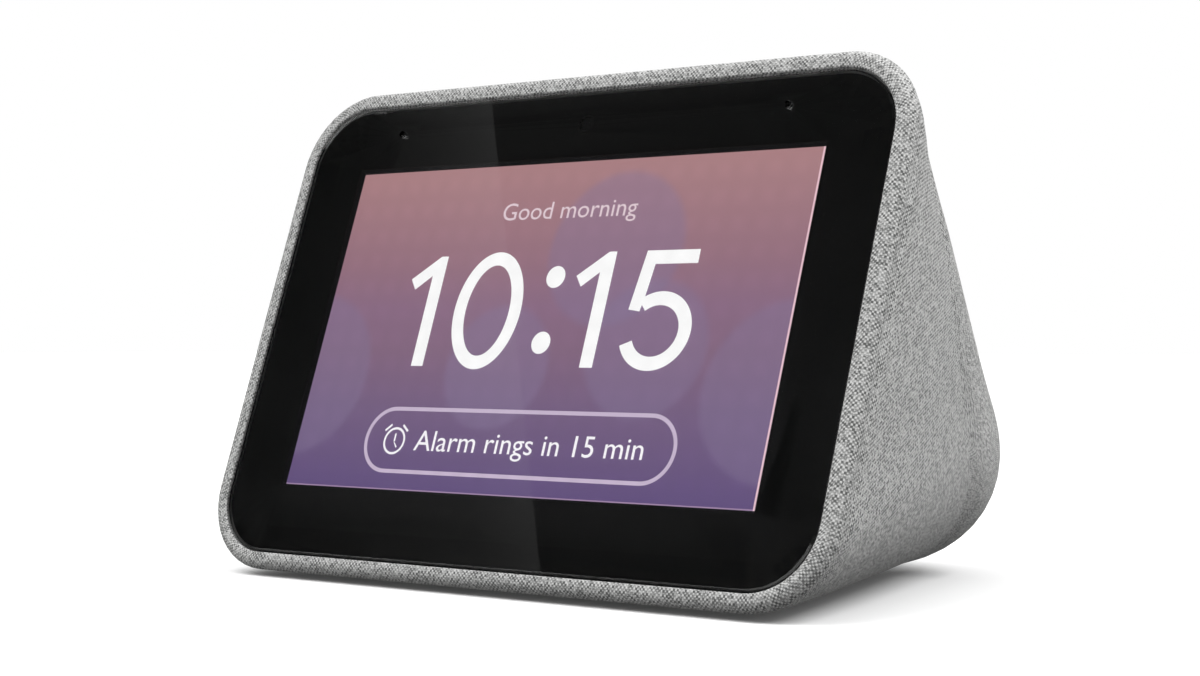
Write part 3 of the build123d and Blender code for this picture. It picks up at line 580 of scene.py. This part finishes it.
class Nodes:
    """Adds nodes to a tree and joins them, with the inputs given by name or number."""

    def __init__(self, tree):
        self.tree = tree

    def put(self, value, socket):
        """Joins a value to a socket, or sets it there where it is a constant."""
        if isinstance(value, bpy.types.NodeSocket):
            self.tree.links.new(value, socket)
        else:
            socket.default_value = value

    def add(self, kind, inputs=None, **settings):
        node = self.tree.nodes.new(kind)
        for key, value in settings.items():
            setattr(node, key, value)
        for key, value in (inputs or {}).items():
            self.put(value, node.inputs[key])
        return node

    def feed(self, node, **values):
        """Puts values on a node's named sockets, with their spaces written as underscores."""
        for label, value in values.items():
            self.put(value, node.inputs[label.replace("_", " ")])

    def maths(self, operation, *values, clamp=False):
        node = self.add("ShaderNodeMath", dict(enumerate(values)), operation=operation, use_clamp=clamp)
        return node.outputs[0]

    def vector(self, operation, *values):
        node = self.add("ShaderNodeVectorMath", dict(enumerate(values)), operation=operation)
        return node.outputs["Value" if operation in ("LENGTH", "DISTANCE", "DOT_PRODUCT") else "Vector"]

    def mix(self, share, first, second):
        """The first colour turning into the second as the share goes from 0 to 1."""
        node = self.add("ShaderNodeMix", data_type="RGBA")
        for place, value in ((0, share), (6, first), (7, second)):
            self.put(value, node.inputs[place])
        return node.outputs[2]

    def span(self, value, low, high, to_low=0.0, to_high=1.0, smooth=False):
        """The value's place between low and high, carried to another span."""
        node = self.add("ShaderNodeMapRange", {0: value, 1: low, 2: high, 3: to_low, 4: to_high})
        if smooth:
            node.interpolation_type = "SMOOTHSTEP"
        return node.outputs[0]


def new_group(name, inputs, outputs):
    """A node group with named inputs and outputs, its inner nodes' builder and both ends."""
    group = bpy.data.node_groups.new(name, "ShaderNodeTree")
    for label, kind, value in inputs:
        socket = group.interface.new_socket(label, in_out="INPUT", socket_type="NodeSocket" + kind)
        if value is not None:
            socket.default_value = value
    for label, kind in outputs:
        group.interface.new_socket(label, in_out="OUTPUT", socket_type="NodeSocket" + kind)
    nodes = Nodes(group)
    return group, nodes, nodes.add("NodeGroupInput").outputs, nodes.add("NodeGroupOutput")


def grain_group():
    """Fine grain of a moulded, cast or rolled piece: two sizes of noise round a colour, with the
    roughness and a height that go with them."""
    group, nodes, given, end = new_group(
        "grain",
        [("Vector", "Vector", None), ("Grain size", "Float", 0.5), ("Stretch", "Vector", (1, 1, 1)),
         ("Colour", "Color", None), ("Tone", "Float", 0.1), ("Roughness", "Float", 0.5),
         ("Unevenness", "Float", 0.1)],
        [("Colour", "Color"), ("Roughness", "Float"), ("Height", "Float")])
    place = nodes.vector("MULTIPLY", given["Vector"], given["Stretch"])
    fine_scale = nodes.maths("DIVIDE", 1.0, given["Grain size"])
    broad_scale = nodes.maths("DIVIDE", 0.08, given["Grain size"])
    fine = nodes.add("ShaderNodeTexNoise", {"Vector": place, "Scale": fine_scale, "Detail": 3.0})
    broad = nodes.add("ShaderNodeTexNoise", {"Vector": place, "Scale": broad_scale, "Detail": 2.0})
    both = nodes.maths("ADD", fine.outputs[0], nodes.maths("MULTIPLY", broad.outputs[0], 0.6))
    swing = nodes.maths("SUBTRACT", both, 0.8)
    gain = nodes.maths("ADD", nodes.maths("MULTIPLY", swing, given["Tone"]), 1.0)
    colour = nodes.vector("SCALE", given["Colour"])
    scaled = colour.node
    nodes.tree.links.new(gain, scaled.inputs["Scale"])
    rough = nodes.maths("ADD", given["Roughness"], nodes.maths("MULTIPLY", swing, given["Unevenness"]),
                        clamp=True)
    nodes.feed(end, Colour=scaled.outputs["Vector"], Roughness=rough, Height=fine.outputs[0])
    return group


WANDER, WANDER_SCALE = 0.12, 0.35       # how far, and how often to the millimetre, threads stray
FIBRE_SCALE = 3.2                       # patches of light and dark fibre to the millimetre


def weave_group():
    """Plain weave: the product of two sines lifts every other crossing, each crossing has its own
    shade, and long noise along the yarn mixes light and dark fibres."""
    group, nodes, given, end = new_group(
        "weave",
        [("Vector", "Vector", None), ("Pitch", "Float", 0.6), ("Crossing tone", "Float", 0.3),
         ("Gap tone", "Float", 0.4)],
        [("Shade", "Float"), ("Height", "Float"), ("Gap", "Float")])
    turns = nodes.maths("DIVIDE", 2 * pi, given["Pitch"])
    bent = nodes.add("ShaderNodeTexNoise", {"Vector": given["Vector"], "Scale": WANDER_SCALE,
                                            "Detail": 2.0})
    wander = nodes.vector("SCALE", nodes.vector("SUBTRACT", bent.outputs["Color"], (0.5, 0.5, 0.5)))
    wander.node.inputs["Scale"].default_value = WANDER
    place = nodes.vector("ADD", given["Vector"], wander)
    split = nodes.add("ShaderNodeSeparateXYZ", {0: place}).outputs
    warp = nodes.maths("SINE", nodes.maths("MULTIPLY", split[0], turns))
    weft = nodes.maths("SINE", nodes.maths("MULTIPLY", split[1], turns))
    crossing = nodes.maths("MULTIPLY", warp, weft)
    height = nodes.span(crossing, -1.0, 1.0)
    thin = nodes.maths("MINIMUM", nodes.maths("ABSOLUTE", warp), nodes.maths("ABSOLUTE", weft))
    gap = nodes.span(thin, 0.0, 0.45, 1.0, 0.0, smooth=True)
    half = nodes.maths("DIVIDE", given["Pitch"], 2.0)
    cell = nodes.vector("FLOOR", nodes.vector("DIVIDE", place, nodes.add(
        "ShaderNodeCombineXYZ", {0: half, 1: half, 2: 1.0}).outputs[0]))
    own = nodes.add("ShaderNodeTexWhiteNoise", {"Vector": cell}, noise_dimensions="3D").outputs["Value"]
    mixed = nodes.add("ShaderNodeTexNoise", {"Vector": given["Vector"], "Scale": FIBRE_SCALE, "Detail": 2.0,
                                             "Roughness": 0.65}).outputs[0]
    own_share = nodes.maths("MULTIPLY", nodes.maths("SUBTRACT", own, 0.5), given["Crossing tone"])
    mixed_share = nodes.maths("MULTIPLY", nodes.maths("SUBTRACT", mixed, 0.5), given["Crossing tone"])
    lifted = nodes.maths("MULTIPLY", nodes.maths("SUBTRACT", height, 0.5), given["Gap tone"])
    lost = nodes.maths("MULTIPLY", gap, nodes.maths("MULTIPLY", given["Gap tone"], 0.5))
    shade = nodes.maths("ADD", nodes.maths("ADD", own_share, mixed_share), lifted)
    shade = nodes.maths("ADD", nodes.maths("SUBTRACT", shade, lost), 1.0)
    nodes.feed(end, Shade=shade, Height=height, Gap=gap)
    return group


def soft_disc_group():
    """A round of light with a soft edge: one inside the radius, none beyond the edge's width."""
    group, nodes, given, end = new_group(
        "soft disc",
        [("Vector", "Vector", None), ("Centre", "Vector", (0, 0, 0)), ("Radius", "Float", 10.0),
         ("Edge", "Float", 1.0)],
        [("Mask", "Float")])
    flat = nodes.vector("MULTIPLY", nodes.vector("SUBTRACT", given["Vector"], given["Centre"]), (1, 0, 1))
    away = nodes.maths("SUBTRACT", nodes.vector("LENGTH", flat), given["Radius"])
    mask = nodes.maths("SUBTRACT", 1.0, nodes.maths("DIVIDE", away, given["Edge"]), clamp=True)
    nodes.feed(end, Mask=mask)
    return group


def screen_grid_group():
    """Fine grid of a lit screen: a faint dimming between its rows and columns."""
    group, nodes, given, end = new_group(
        "screen grid", [("Vector", "Vector", None), ("Pitch", "Float", 0.11), ("Dimming", "Float", 0.05)],
        [("Gain", "Float")])
    turns = nodes.maths("DIVIDE", 2 * pi, given["Pitch"])
    split = nodes.add("ShaderNodeSeparateXYZ", {0: given["Vector"]}).outputs
    waves = [nodes.maths("COSINE", nodes.maths("MULTIPLY", split[axis], turns)) for axis in (0, 2)]
    dim = nodes.maths("MULTIPLY", nodes.maths("MAXIMUM", *waves), given["Dimming"])
    nodes.feed(end, Gain=nodes.maths("SUBTRACT", 1.0, dim))
    return group


GRAIN, WEAVE = grain_group(), weave_group()
SOFT_DISC, SCREEN_GRID = soft_disc_group(), screen_grid_group()


def new_material(name):
    """An empty material with its shader and its nodes' builder."""
    made = bpy.data.materials.new(name)
    made.use_nodes = True
    made.node_tree.nodes.clear()
    nodes = Nodes(made.node_tree)
    shader = nodes.add("ShaderNodeBsdfPrincipled")
    nodes.add("ShaderNodeOutputMaterial", {"Surface": shader.outputs[0]})
    return made, nodes, shader


def place_group(nodes, group, **inputs):
    """One of the shared groups, with this material's own values."""
    node = nodes.add("ShaderNodeGroup", node_tree=group)
    nodes.feed(node, **inputs)
    return node.outputs


def object_mm(nodes):
    """Object coordinates in millimetres."""
    place = nodes.add("ShaderNodeTexCoord").outputs["Object"]
    return nodes.add("ShaderNodeMapping", {"Vector": place, "Scale": (1 / MM,) * 3}).outputs[0]


def screen_mm(nodes):
    """Object coordinates turned with the face: across, into the screen and up, from its centre."""
    place = nodes.add("ShaderNodeTexCoord").outputs["Object"]
    shift = Matrix.Rotation(radians(FACE_LEAN), 3, "X") @ Vector((0, SCREEN_Y, SCREEN_Z))
    return nodes.add("ShaderNodeMapping", {"Vector": place, "Scale": (1 / MM,) * 3, "Location": -shift,
                                           "Rotation": (radians(FACE_LEAN), 0, 0)}).outputs[0]


def moulded(name, colour, roughness=0.5, metallic=0.0, grain=0.5, tone=0.12, uneven=0.15, lift=0.01,
            stretch=(1, 1, 1)):
    """A finish with grain: colour, roughness and height all come from the grain group."""
    made, nodes, shader = new_material(name)
    grained = place_group(nodes, GRAIN, Vector=object_mm(nodes), Grain_size=grain, Stretch=stretch,
                          Colour=tint(*colour), Tone=tone, Roughness=roughness, Unevenness=uneven)
    bump = nodes.add("ShaderNodeBump", {"Height": grained["Height"], "Distance": lift * MM,
                                        "Strength": 0.6})
    nodes.feed(shader, Base_Color=grained["Colour"], Roughness=grained["Roughness"],
               Normal=bump.outputs[0], Metallic=metallic)
    return made


CLOTH_PITCH = 0.64                      # two threads, millimetres
BAND_END, BAND_BLEND = 2.6, 0.3         # the rim's tighter band, which also carries painted shade down to the crease, ends this far behind the face
BAND_CONTRAST, SIDE_CONTRAST = 1.6, 2.0
BAND_SHADED_LEVEL, SIDE_LEVEL = 0.98, 1.12
CLOTH_LIGHT, CLOTH_DARK = tint(198, 198, 197), tint(88, 89, 88)


def woven_cloth(name):
    """Light grey mixed-yarn cloth: the weave group's shade runs between a dark and a light yarn,
    and painted shade darkens the band just behind the face, down to the crease.
    """
    made, nodes, shader = new_material(name)
    uv = nodes.add("ShaderNodeUVMap", uv_map="weave").outputs[0]
    mm = nodes.add("ShaderNodeMapping", {"Vector": uv, "Scale": (WEAVE_SPAN,) * 3}).outputs[0]
    woven = place_group(nodes, WEAVE, Vector=mm, Pitch=CLOTH_PITCH, Crossing_tone=0.6,
                        Gap_tone=0.6)
    behind = nodes.add("ShaderNodeSeparateXYZ", {0: screen_mm(nodes)}).outputs[1]
    band = nodes.span(behind, BAND_END - BAND_BLEND, BAND_END + BAND_BLEND, 1.0, 0.0, smooth=True)
    swing = nodes.maths("MULTIPLY", nodes.maths("SUBTRACT", woven["Shade"], 1.0),
                        nodes.span(band, 0.0, 1.0, SIDE_CONTRAST, BAND_CONTRAST))
    # painted shade: the band just behind the face, down to the crease, is set darker than the sides
    level = nodes.span(band, 0.0, 1.0, SIDE_LEVEL, BAND_SHADED_LEVEL)
    share = nodes.span(nodes.maths("ADD", swing, level), 0.35, 1.35)
    broad = nodes.add("ShaderNodeTexNoise", {"Vector": mm, "Scale": 0.12, "Detail": 2.0}).outputs[0]
    share = nodes.maths("ADD", share, nodes.span(broad, 0.0, 1.0, -0.05, 0.05), clamp=True)
    colour = nodes.mix(share, CLOTH_DARK, CLOTH_LIGHT)
    bump = nodes.add("ShaderNodeBump", {"Height": woven["Height"], "Distance": 0.12 * MM,
                                        "Strength": 0.7})
    rough = nodes.span(woven["Gap"], 0.0, 1.0, 0.88, 1.0)
    nodes.feed(shader, Base_Color=colour, Roughness=rough, Normal=bump.outputs[0], Sheen_Weight=0.15,
               Sheen_Roughness=0.6, Specular_IOR_Level=0.2)
    return made


def clear_glass(name):
    """Polished cover glass, with faint smears in its roughness."""
    made, nodes, shader = new_material(name)
    smear = place_group(nodes, GRAIN, Vector=object_mm(nodes), Grain_size=6.0, Colour=(1, 1, 1, 1),
                        Tone=0.01, Roughness=0.012, Unevenness=0.012)
    nodes.feed(shader, Base_Color=smear["Colour"], Roughness=smear["Roughness"],
               Transmission_Weight=1.0, IOR=1.5)
    return made


def clear_film(name):
    """The touch film: nearly clear, with a faint net of electrodes."""
    made, nodes, shader = new_material(name)
    net = place_group(nodes, SCREEN_GRID, Vector=screen_mm(nodes), Pitch=4.2, Dimming=0.01)
    grained = place_group(nodes, GRAIN, Vector=object_mm(nodes), Grain_size=2.0,
                          Colour=tint(120, 125, 130), Tone=0.1, Roughness=0.2, Unevenness=0.05)
    nodes.feed(shader, Base_Color=grained["Colour"], Roughness=grained["Roughness"],
               Alpha=nodes.maths("SUBTRACT", 1.02, net["Gain"]), Specular_IOR_Level=0.0)
    return made


PICTURE_HALF_W, PICTURE_HALF_H = 43.2, 25.92
# The picture's colours from the bottom of the screen to its top
PICTURE_STOPS = [(-25.92, (98, 80, 126)), (-13.0, (118, 96, 130)), (-4.0, (132, 103, 128)),
                 (3.0, (139, 107, 132)), (10.0, (150, 113, 128)), (25.92, (173, 130, 133))]
# Soft rounds of light in the picture: across, up, radius, share
ROUNDS = [(10.8, 11.8, 11.4, 0.4), (-6.5, -6.5, 9.0, 0.42), (44.0, -9.5, 12.5, 0.38),
          (-45.0, -8.0, 12.5, 0.38), (20.0, -3.6, 9.8, 0.4)]
ROUND_TINT = tint(134, 118, 152)
EDGE_LINE = 0.32
RIGHT_LINE, LOW_LINE = tint(243, 205, 215), tint(190, 160, 190)
PANEL_BLACK, MARGIN_BLACK = tint(10, 10, 12), tint(6, 6, 7)
GRID_PITCH, GRID_DIMMING = 0.11, 0.03
GLASS_GAIN = 1.09           # what the glass takes from the light that goes through it


def glow(nodes, shader, place, colour):
    """Lights a shader up in a colour, dimmed by the screen's fine grid, over a black panel."""
    grid = place_group(nodes, SCREEN_GRID, Vector=place, Pitch=GRID_PITCH, Dimming=GRID_DIMMING)
    lit = nodes.vector("SCALE", colour)
    nodes.feed(lit.node, Scale=grid["Gain"])
    nodes.feed(shader, Emission_Color=lit, Emission_Strength=GLASS_GAIN, Base_Color=PANEL_BLACK)


def lit_picture(name):
    """The screen's picture: a run of colours from plum to rose, soft rounds of light, a pale line
    along its right and lower edges, and a dark margin beyond the lit area."""
    made, nodes, shader = new_material(name)
    place = screen_mm(nodes)
    split = nodes.add("ShaderNodeSeparateXYZ", {0: place}).outputs
    ramp = nodes.add("ShaderNodeValToRGB", {0: nodes.span(split[2], -PICTURE_HALF_H, PICTURE_HALF_H)})
    stops = ramp.color_ramp.elements
    while len(stops) < len(PICTURE_STOPS):
        stops.new(0.5)
    for stop, (up, colour) in zip(stops, PICTURE_STOPS):
        stop.position = (up + PICTURE_HALF_H) / (2 * PICTURE_HALF_H)
        stop.color = tint(*colour)
    colour = ramp.outputs[0]
    for across, up, radius, strength in ROUNDS:
        disc = place_group(nodes, SOFT_DISC, Vector=place, Centre=(across, 0, up), Radius=radius, Edge=1.2)
        colour = nodes.mix(nodes.maths("MULTIPLY", disc["Mask"], strength), colour, ROUND_TINT)
    right = nodes.maths("GREATER_THAN", split[0], PICTURE_HALF_W - EDGE_LINE)
    low = nodes.maths("LESS_THAN", split[2], EDGE_LINE * 0.6 - PICTURE_HALF_H)
    colour = nodes.mix(nodes.maths("MULTIPLY", low, 0.6), colour, LOW_LINE)
    colour = nodes.mix(nodes.maths("MULTIPLY", right, 0.85), colour, RIGHT_LINE)
    away = nodes.maths("MAXIMUM", nodes.maths("SUBTRACT", nodes.maths("ABSOLUTE", split[0]), PICTURE_HALF_W),
                       nodes.maths("SUBTRACT", nodes.maths("ABSOLUTE", split[2]), PICTURE_HALF_H))
    colour = nodes.mix(nodes.maths("GREATER_THAN", away, 0.0), colour, MARGIN_BLACK)
    glow(nodes, shader, place, colour)
    rough = place_group(nodes, GRAIN, Vector=place, Grain_size=1.0, Roughness=0.4, Unevenness=0.05,
                        Tone=0.0, Colour=PANEL_BLACK)
    nodes.feed(shader, Roughness=rough["Roughness"])
    return made


def lit_shape(name, colour):
    """A shape drawn on the screen in one light colour, with the screen's fine grid in it."""
    made, nodes, shader = new_material(name)
    glow(nodes, shader, screen_mm(nodes), tint(*colour)[:3])
    return made


def circuit_board(name):
    """Green board under a lacquer, with fine copper tracks showing through as lighter lines."""
    made, nodes, shader = new_material(name)
    place = object_mm(nodes)
    grained = place_group(nodes, GRAIN, Vector=place, Grain_size=0.4, Colour=tint(24, 78, 52), Tone=0.2,
                          Roughness=0.35, Unevenness=0.1)
    cells = nodes.add("ShaderNodeTexVoronoi", {"Vector": place, "Scale": 0.35}, distance="MANHATTAN")
    track = nodes.maths("GREATER_THAN", nodes.maths("SINE", nodes.maths("MULTIPLY", cells.outputs[0], 26.0)),
                        0.75)
    colour = nodes.mix(nodes.maths("MULTIPLY", track, 0.5), grained["Colour"], tint(58, 126, 84))
    bump = nodes.add("ShaderNodeBump", {"Height": track, "Distance": 0.03 * MM, "Strength": 0.5})
    nodes.feed(shader, Base_Color=colour, Roughness=grained["Roughness"], Normal=bump.outputs[0])
    return made


# Finish of each plain material: colour, roughness, metal, grain size, tone, unevenness, lift, stretch
BRUSHED = (0.08, 1, 1)
FINISHES = {
    "shell_plastic": dict(colour=(150, 150, 149), roughness=0.62, grain=0.35, lift=0.02),
    "black_ink": dict(colour=(5, 5, 5), roughness=0.5, grain=0.6, tone=0.2, lift=0.002),
    "black_foam": dict(colour=(22, 22, 23), roughness=0.95, grain=0.25, tone=0.6, lift=0.08),
    "frame_plastic": dict(colour=(26, 27, 29), roughness=0.5, grain=0.3, lift=0.015),
    "steel_sheet": dict(colour=(176, 178, 181), roughness=0.36, metallic=1.0, grain=0.4, stretch=BRUSHED),
    "screw_steel": dict(colour=(122, 124, 128), roughness=0.34, metallic=1.0, grain=0.2),
    "ribbon_film": dict(colour=(158, 104, 38), roughness=0.36, grain=0.5, tone=0.25),
    "spreader_aluminium": dict(colour=(196, 198, 201), roughness=0.42, metallic=1.0, grain=0.3,
                               stretch=BRUSHED),
    "thermal_rubber": dict(colour=(126, 146, 168), roughness=0.8, grain=0.5, lift=0.03),
    "chip_plastic": dict(colour=(30, 30, 32), roughness=0.55, grain=0.15, lift=0.01),
    "box_plastic": dict(colour=(34, 35, 37), roughness=0.55, grain=0.35, lift=0.02),
    "surround_rubber": dict(colour=(20, 20, 21), roughness=0.7, grain=0.3, lift=0.01),
    "cone_paper": dict(colour=(44, 43, 42), roughness=0.85, grain=0.3, tone=0.4, lift=0.05),
    "copper_coil": dict(colour=(184, 104, 62), roughness=0.3, metallic=1.0, grain=0.12,
                        stretch=(1, 1, 6)),
    "spider_cloth": dict(colour=(186, 150, 92), roughness=0.9, grain=0.25, tone=0.4, lift=0.06),
    "magnet_steel": dict(colour=(150, 153, 158), roughness=0.32, metallic=1.0, grain=0.4),
    "ferrite": dict(colour=(48, 49, 52), roughness=0.7, grain=0.3, tone=0.3, lift=0.02),
    "piston_plastic": dict(colour=(52, 53, 56), roughness=0.5, grain=0.3),
    "panel_plastic": dict(colour=(133, 134, 134), roughness=0.58, grain=0.25, tone=0.1, lift=0.02),
    "socket_steel": dict(colour=(186, 188, 191), roughness=0.28, metallic=1.0, grain=0.3,
                         stretch=BRUSHED),
    "key_plastic": dict(colour=(172, 172, 170), roughness=0.6, grain=0.25, tone=0.08, lift=0.02),
    "base_plastic": dict(colour=(118, 119, 119), roughness=0.6, grain=0.3, lift=0.02),
    "foot_rubber": dict(colour=(62, 63, 64), roughness=0.85, grain=0.3, tone=0.2, lift=0.03),
}
SPECIAL = {"knit_fabric": woven_cloth, "cover_glass": clear_glass, "clear_film": clear_film,
           "lcd_glass": lit_picture, "circuit_board": circuit_board}

finishes = {name: moulded(name, **look) for name, look in FINISHES.items()}
finishes.update({name: build(name) for name, build in SPECIAL.items()})

# The light sensor sits behind the ink's round window, so it is as dark as its lens
finishes["sensor_lens"] = moulded("sensor_lens", (12, 12, 14), roughness=0.3, grain=0.4)
node_slots = {}
for part in frame["record"]["subparts"]:
    node_slots[part["node"]] = part["material_slot"]
for name, part in frame["nodes"].items():
    part.data.materials.clear()
    part.data.materials.append(finishes["sensor_lens" if name == "light_sensor" else node_slots[name]])

# ---------------------------------------------------------------- new pieces
cover = woven_cover()
cut_openings(cover)
cover.data.materials.append(finishes["knit_fabric"])
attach(cover, "case")
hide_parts("fabric_cover")

for piece, colour in ((time_digits(), (255, 255, 255)), (greeting_words(), (226, 205, 213)),
                      (alarm_pill(), (201, 184, 208)), (alarm_words(), (250, 248, 252))):
    piece.data.materials.append(lit_shape(piece.name + "_light", colour))
    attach(piece, "case")

# ---------------------------------------------------------------- camera, floor and lights
CAMERA_PLACE = (0.1989, -0.2696, 0.0364)
CAMERA_TURN = 37.54         # degrees round from the front, towards the right-hand side
CAMERA_LENS = 64.95

view = bpy.data.cameras.new("view")
view.lens = CAMERA_LENS
view.sensor_width = 36
view.clip_start = 0.01
camera = bpy.data.objects.new("view", view)
camera.location = CAMERA_PLACE
camera.rotation_euler = (radians(90), 0, radians(CAMERA_TURN))
bpy.context.scene.collection.objects.link(camera)
bpy.context.scene.camera = camera

FLOOR_HALF = 4000.0
floor = new_mesh("floor", [(-FLOOR_HALF, -FLOOR_HALF, 0), (FLOOR_HALF, -FLOOR_HALF, 0),
                           (FLOOR_HALF, FLOOR_HALF, 0), (-FLOOR_HALF, FLOOR_HALF, 0)], [(0, 1, 2, 3)])
pale_floor = moulded("pale_floor", (252, 252, 252), roughness=0.9, grain=2.0, tone=0.01, uneven=0.02)
pale_floor.node_tree.nodes["Principled BSDF"].inputs["Specular IOR Level"].default_value = 0.0
floor.data.materials.append(pale_floor)
floor.visible_diffuse = False      # the object is lit from above, not from the white floor


def mirrored(across, up, distance):
    """The point at a distance that the glass, at a point of its face, shows to the camera: the
    sight line turned back by twice its part along the glass's normal."""
    point = Vector(on_screen(across, up, 0)[0]) * MM
    sight = (point - camera.location).normalized()
    normal = Vector((0, -COS, SIN))
    return point + (sight - 2 * sight.dot(normal) * normal) * distance


CARD_FAR = 0.9              # metres from the glass
CARD_REACH = 75             # the card is seen this far from the screen's centre, past the glass
CARD_EDGE_HIGH, CARD_EDGE_LOW = -34.5, 27.0     # where its slanting edge is seen, high and low
CARD_LIGHT, CARD_FADE = 0.3, 1.8


def reflected_card():
    """A pale card whose edge the glass shows as a slanting line, fading away from that edge. Only
    polished pieces see it."""
    seen_at = [(-CARD_REACH, CARD_REACH), (CARD_EDGE_HIGH, CARD_REACH), (CARD_EDGE_LOW, -CARD_REACH),
               (-CARD_REACH, -CARD_REACH)]
    places = np.array([list(mirrored(across, up, CARD_FAR)) for across, up in seen_at])
    card = new_mesh("reflected_card", places / MM, [(0, 1, 2, 3)])
    uv = [0.0, 0, 1, 0, 1, 1, 0, 1]
    card.data.uv_layers.new(name="fade").data.foreach_set("uv", uv)
    made = bpy.data.materials.new("card_light")
    made.use_nodes = True
    made.node_tree.nodes.clear()
    nodes = Nodes(made.node_tree)
    across = nodes.add("ShaderNodeSeparateXYZ",
                       {0: nodes.add("ShaderNodeUVMap", uv_map="fade").outputs[0]}).outputs[0]
    strength = nodes.maths("MULTIPLY", nodes.maths("POWER", across, CARD_FADE), CARD_LIGHT)
    light = nodes.add("ShaderNodeEmission", {"Strength": strength})
    nodes.add("ShaderNodeOutputMaterial", {"Surface": light.outputs[0]})
    card.data.materials.append(made)
    for ray in ("camera", "diffuse", "shadow", "transmission", "volume_scatter"):
        setattr(card, "visible_" + ray, False)


reflected_card()


def soft_light(data, direction, place=(0, 0, 0)):
    """Puts a light at a place, shining along a direction. Polished pieces don't show it."""
    light = bpy.data.objects.new(data.name, data)
    light.location = place
    light.rotation_euler = Vector(direction).to_track_quat("-Z", "Y").to_euler()
    light.visible_glossy = False
    light.visible_transmission = False
    bpy.context.scene.collection.objects.link(light)


KEY_DIRECTION = (0.45, 0.5, -1.0)
SIDE_PLACE, SIDE_AIM = (0.34, 0.02, 0.34), (0, 0, 0.03)
SKY_LOW, SKY_HIGH = 0.1, 0.92       # the light from below and from above
SKY_TURN = 0.5                      # the sine of the height within which it changes
SKY_MIRRORED = 0.045                # what polished pieces show of the sky

key = bpy.data.lights.new("key_light", "SUN")
key.angle = radians(50)
key.energy = 1.9
soft_light(key, KEY_DIRECTION)
side = bpy.data.lights.new("side_light", "AREA")
side.size = 0.25
side.energy = 1.25
soft_light(side, Vector(SIDE_AIM) - Vector(SIDE_PLACE), SIDE_PLACE)


def sky(nodes, strength):
    """A white sky of a strength."""
    return nodes.add("ShaderNodeBackground", {"Color": (1, 1, 1, 1), "Strength": strength}).outputs[0]


world = bpy.data.worlds.new("studio")
world.use_nodes = True
world.node_tree.nodes.clear()
nodes = Nodes(world.node_tree)
path = nodes.add("ShaderNodeLightPath").outputs
aim = nodes.add("ShaderNodeTexCoord").outputs["Generated"]
aim_up = nodes.add("ShaderNodeSeparateXYZ", {0: aim}).outputs[2]
seen = sky(nodes, 1.0)
lighting = sky(nodes, nodes.span(aim_up, -SKY_TURN, SKY_TURN, SKY_LOW, SKY_HIGH))
mirror = sky(nodes, SKY_MIRRORED)
polished = nodes.maths("MAXIMUM", path["Is Glossy Ray"], path["Is Transmission Ray"])
dim = nodes.add("ShaderNodeMixShader", {0: polished, 1: lighting, 2: mirror})
whole = nodes.add("ShaderNodeMixShader", {0: path["Is Camera Ray"], 1: dim.outputs[0], 2: seen})
nodes.add("ShaderNodeOutputWorld", {"Surface": whole.outputs[0]})
bpy.context.scene.world = world
bpy.context.scene.view_settings.view_transform = "Standard"
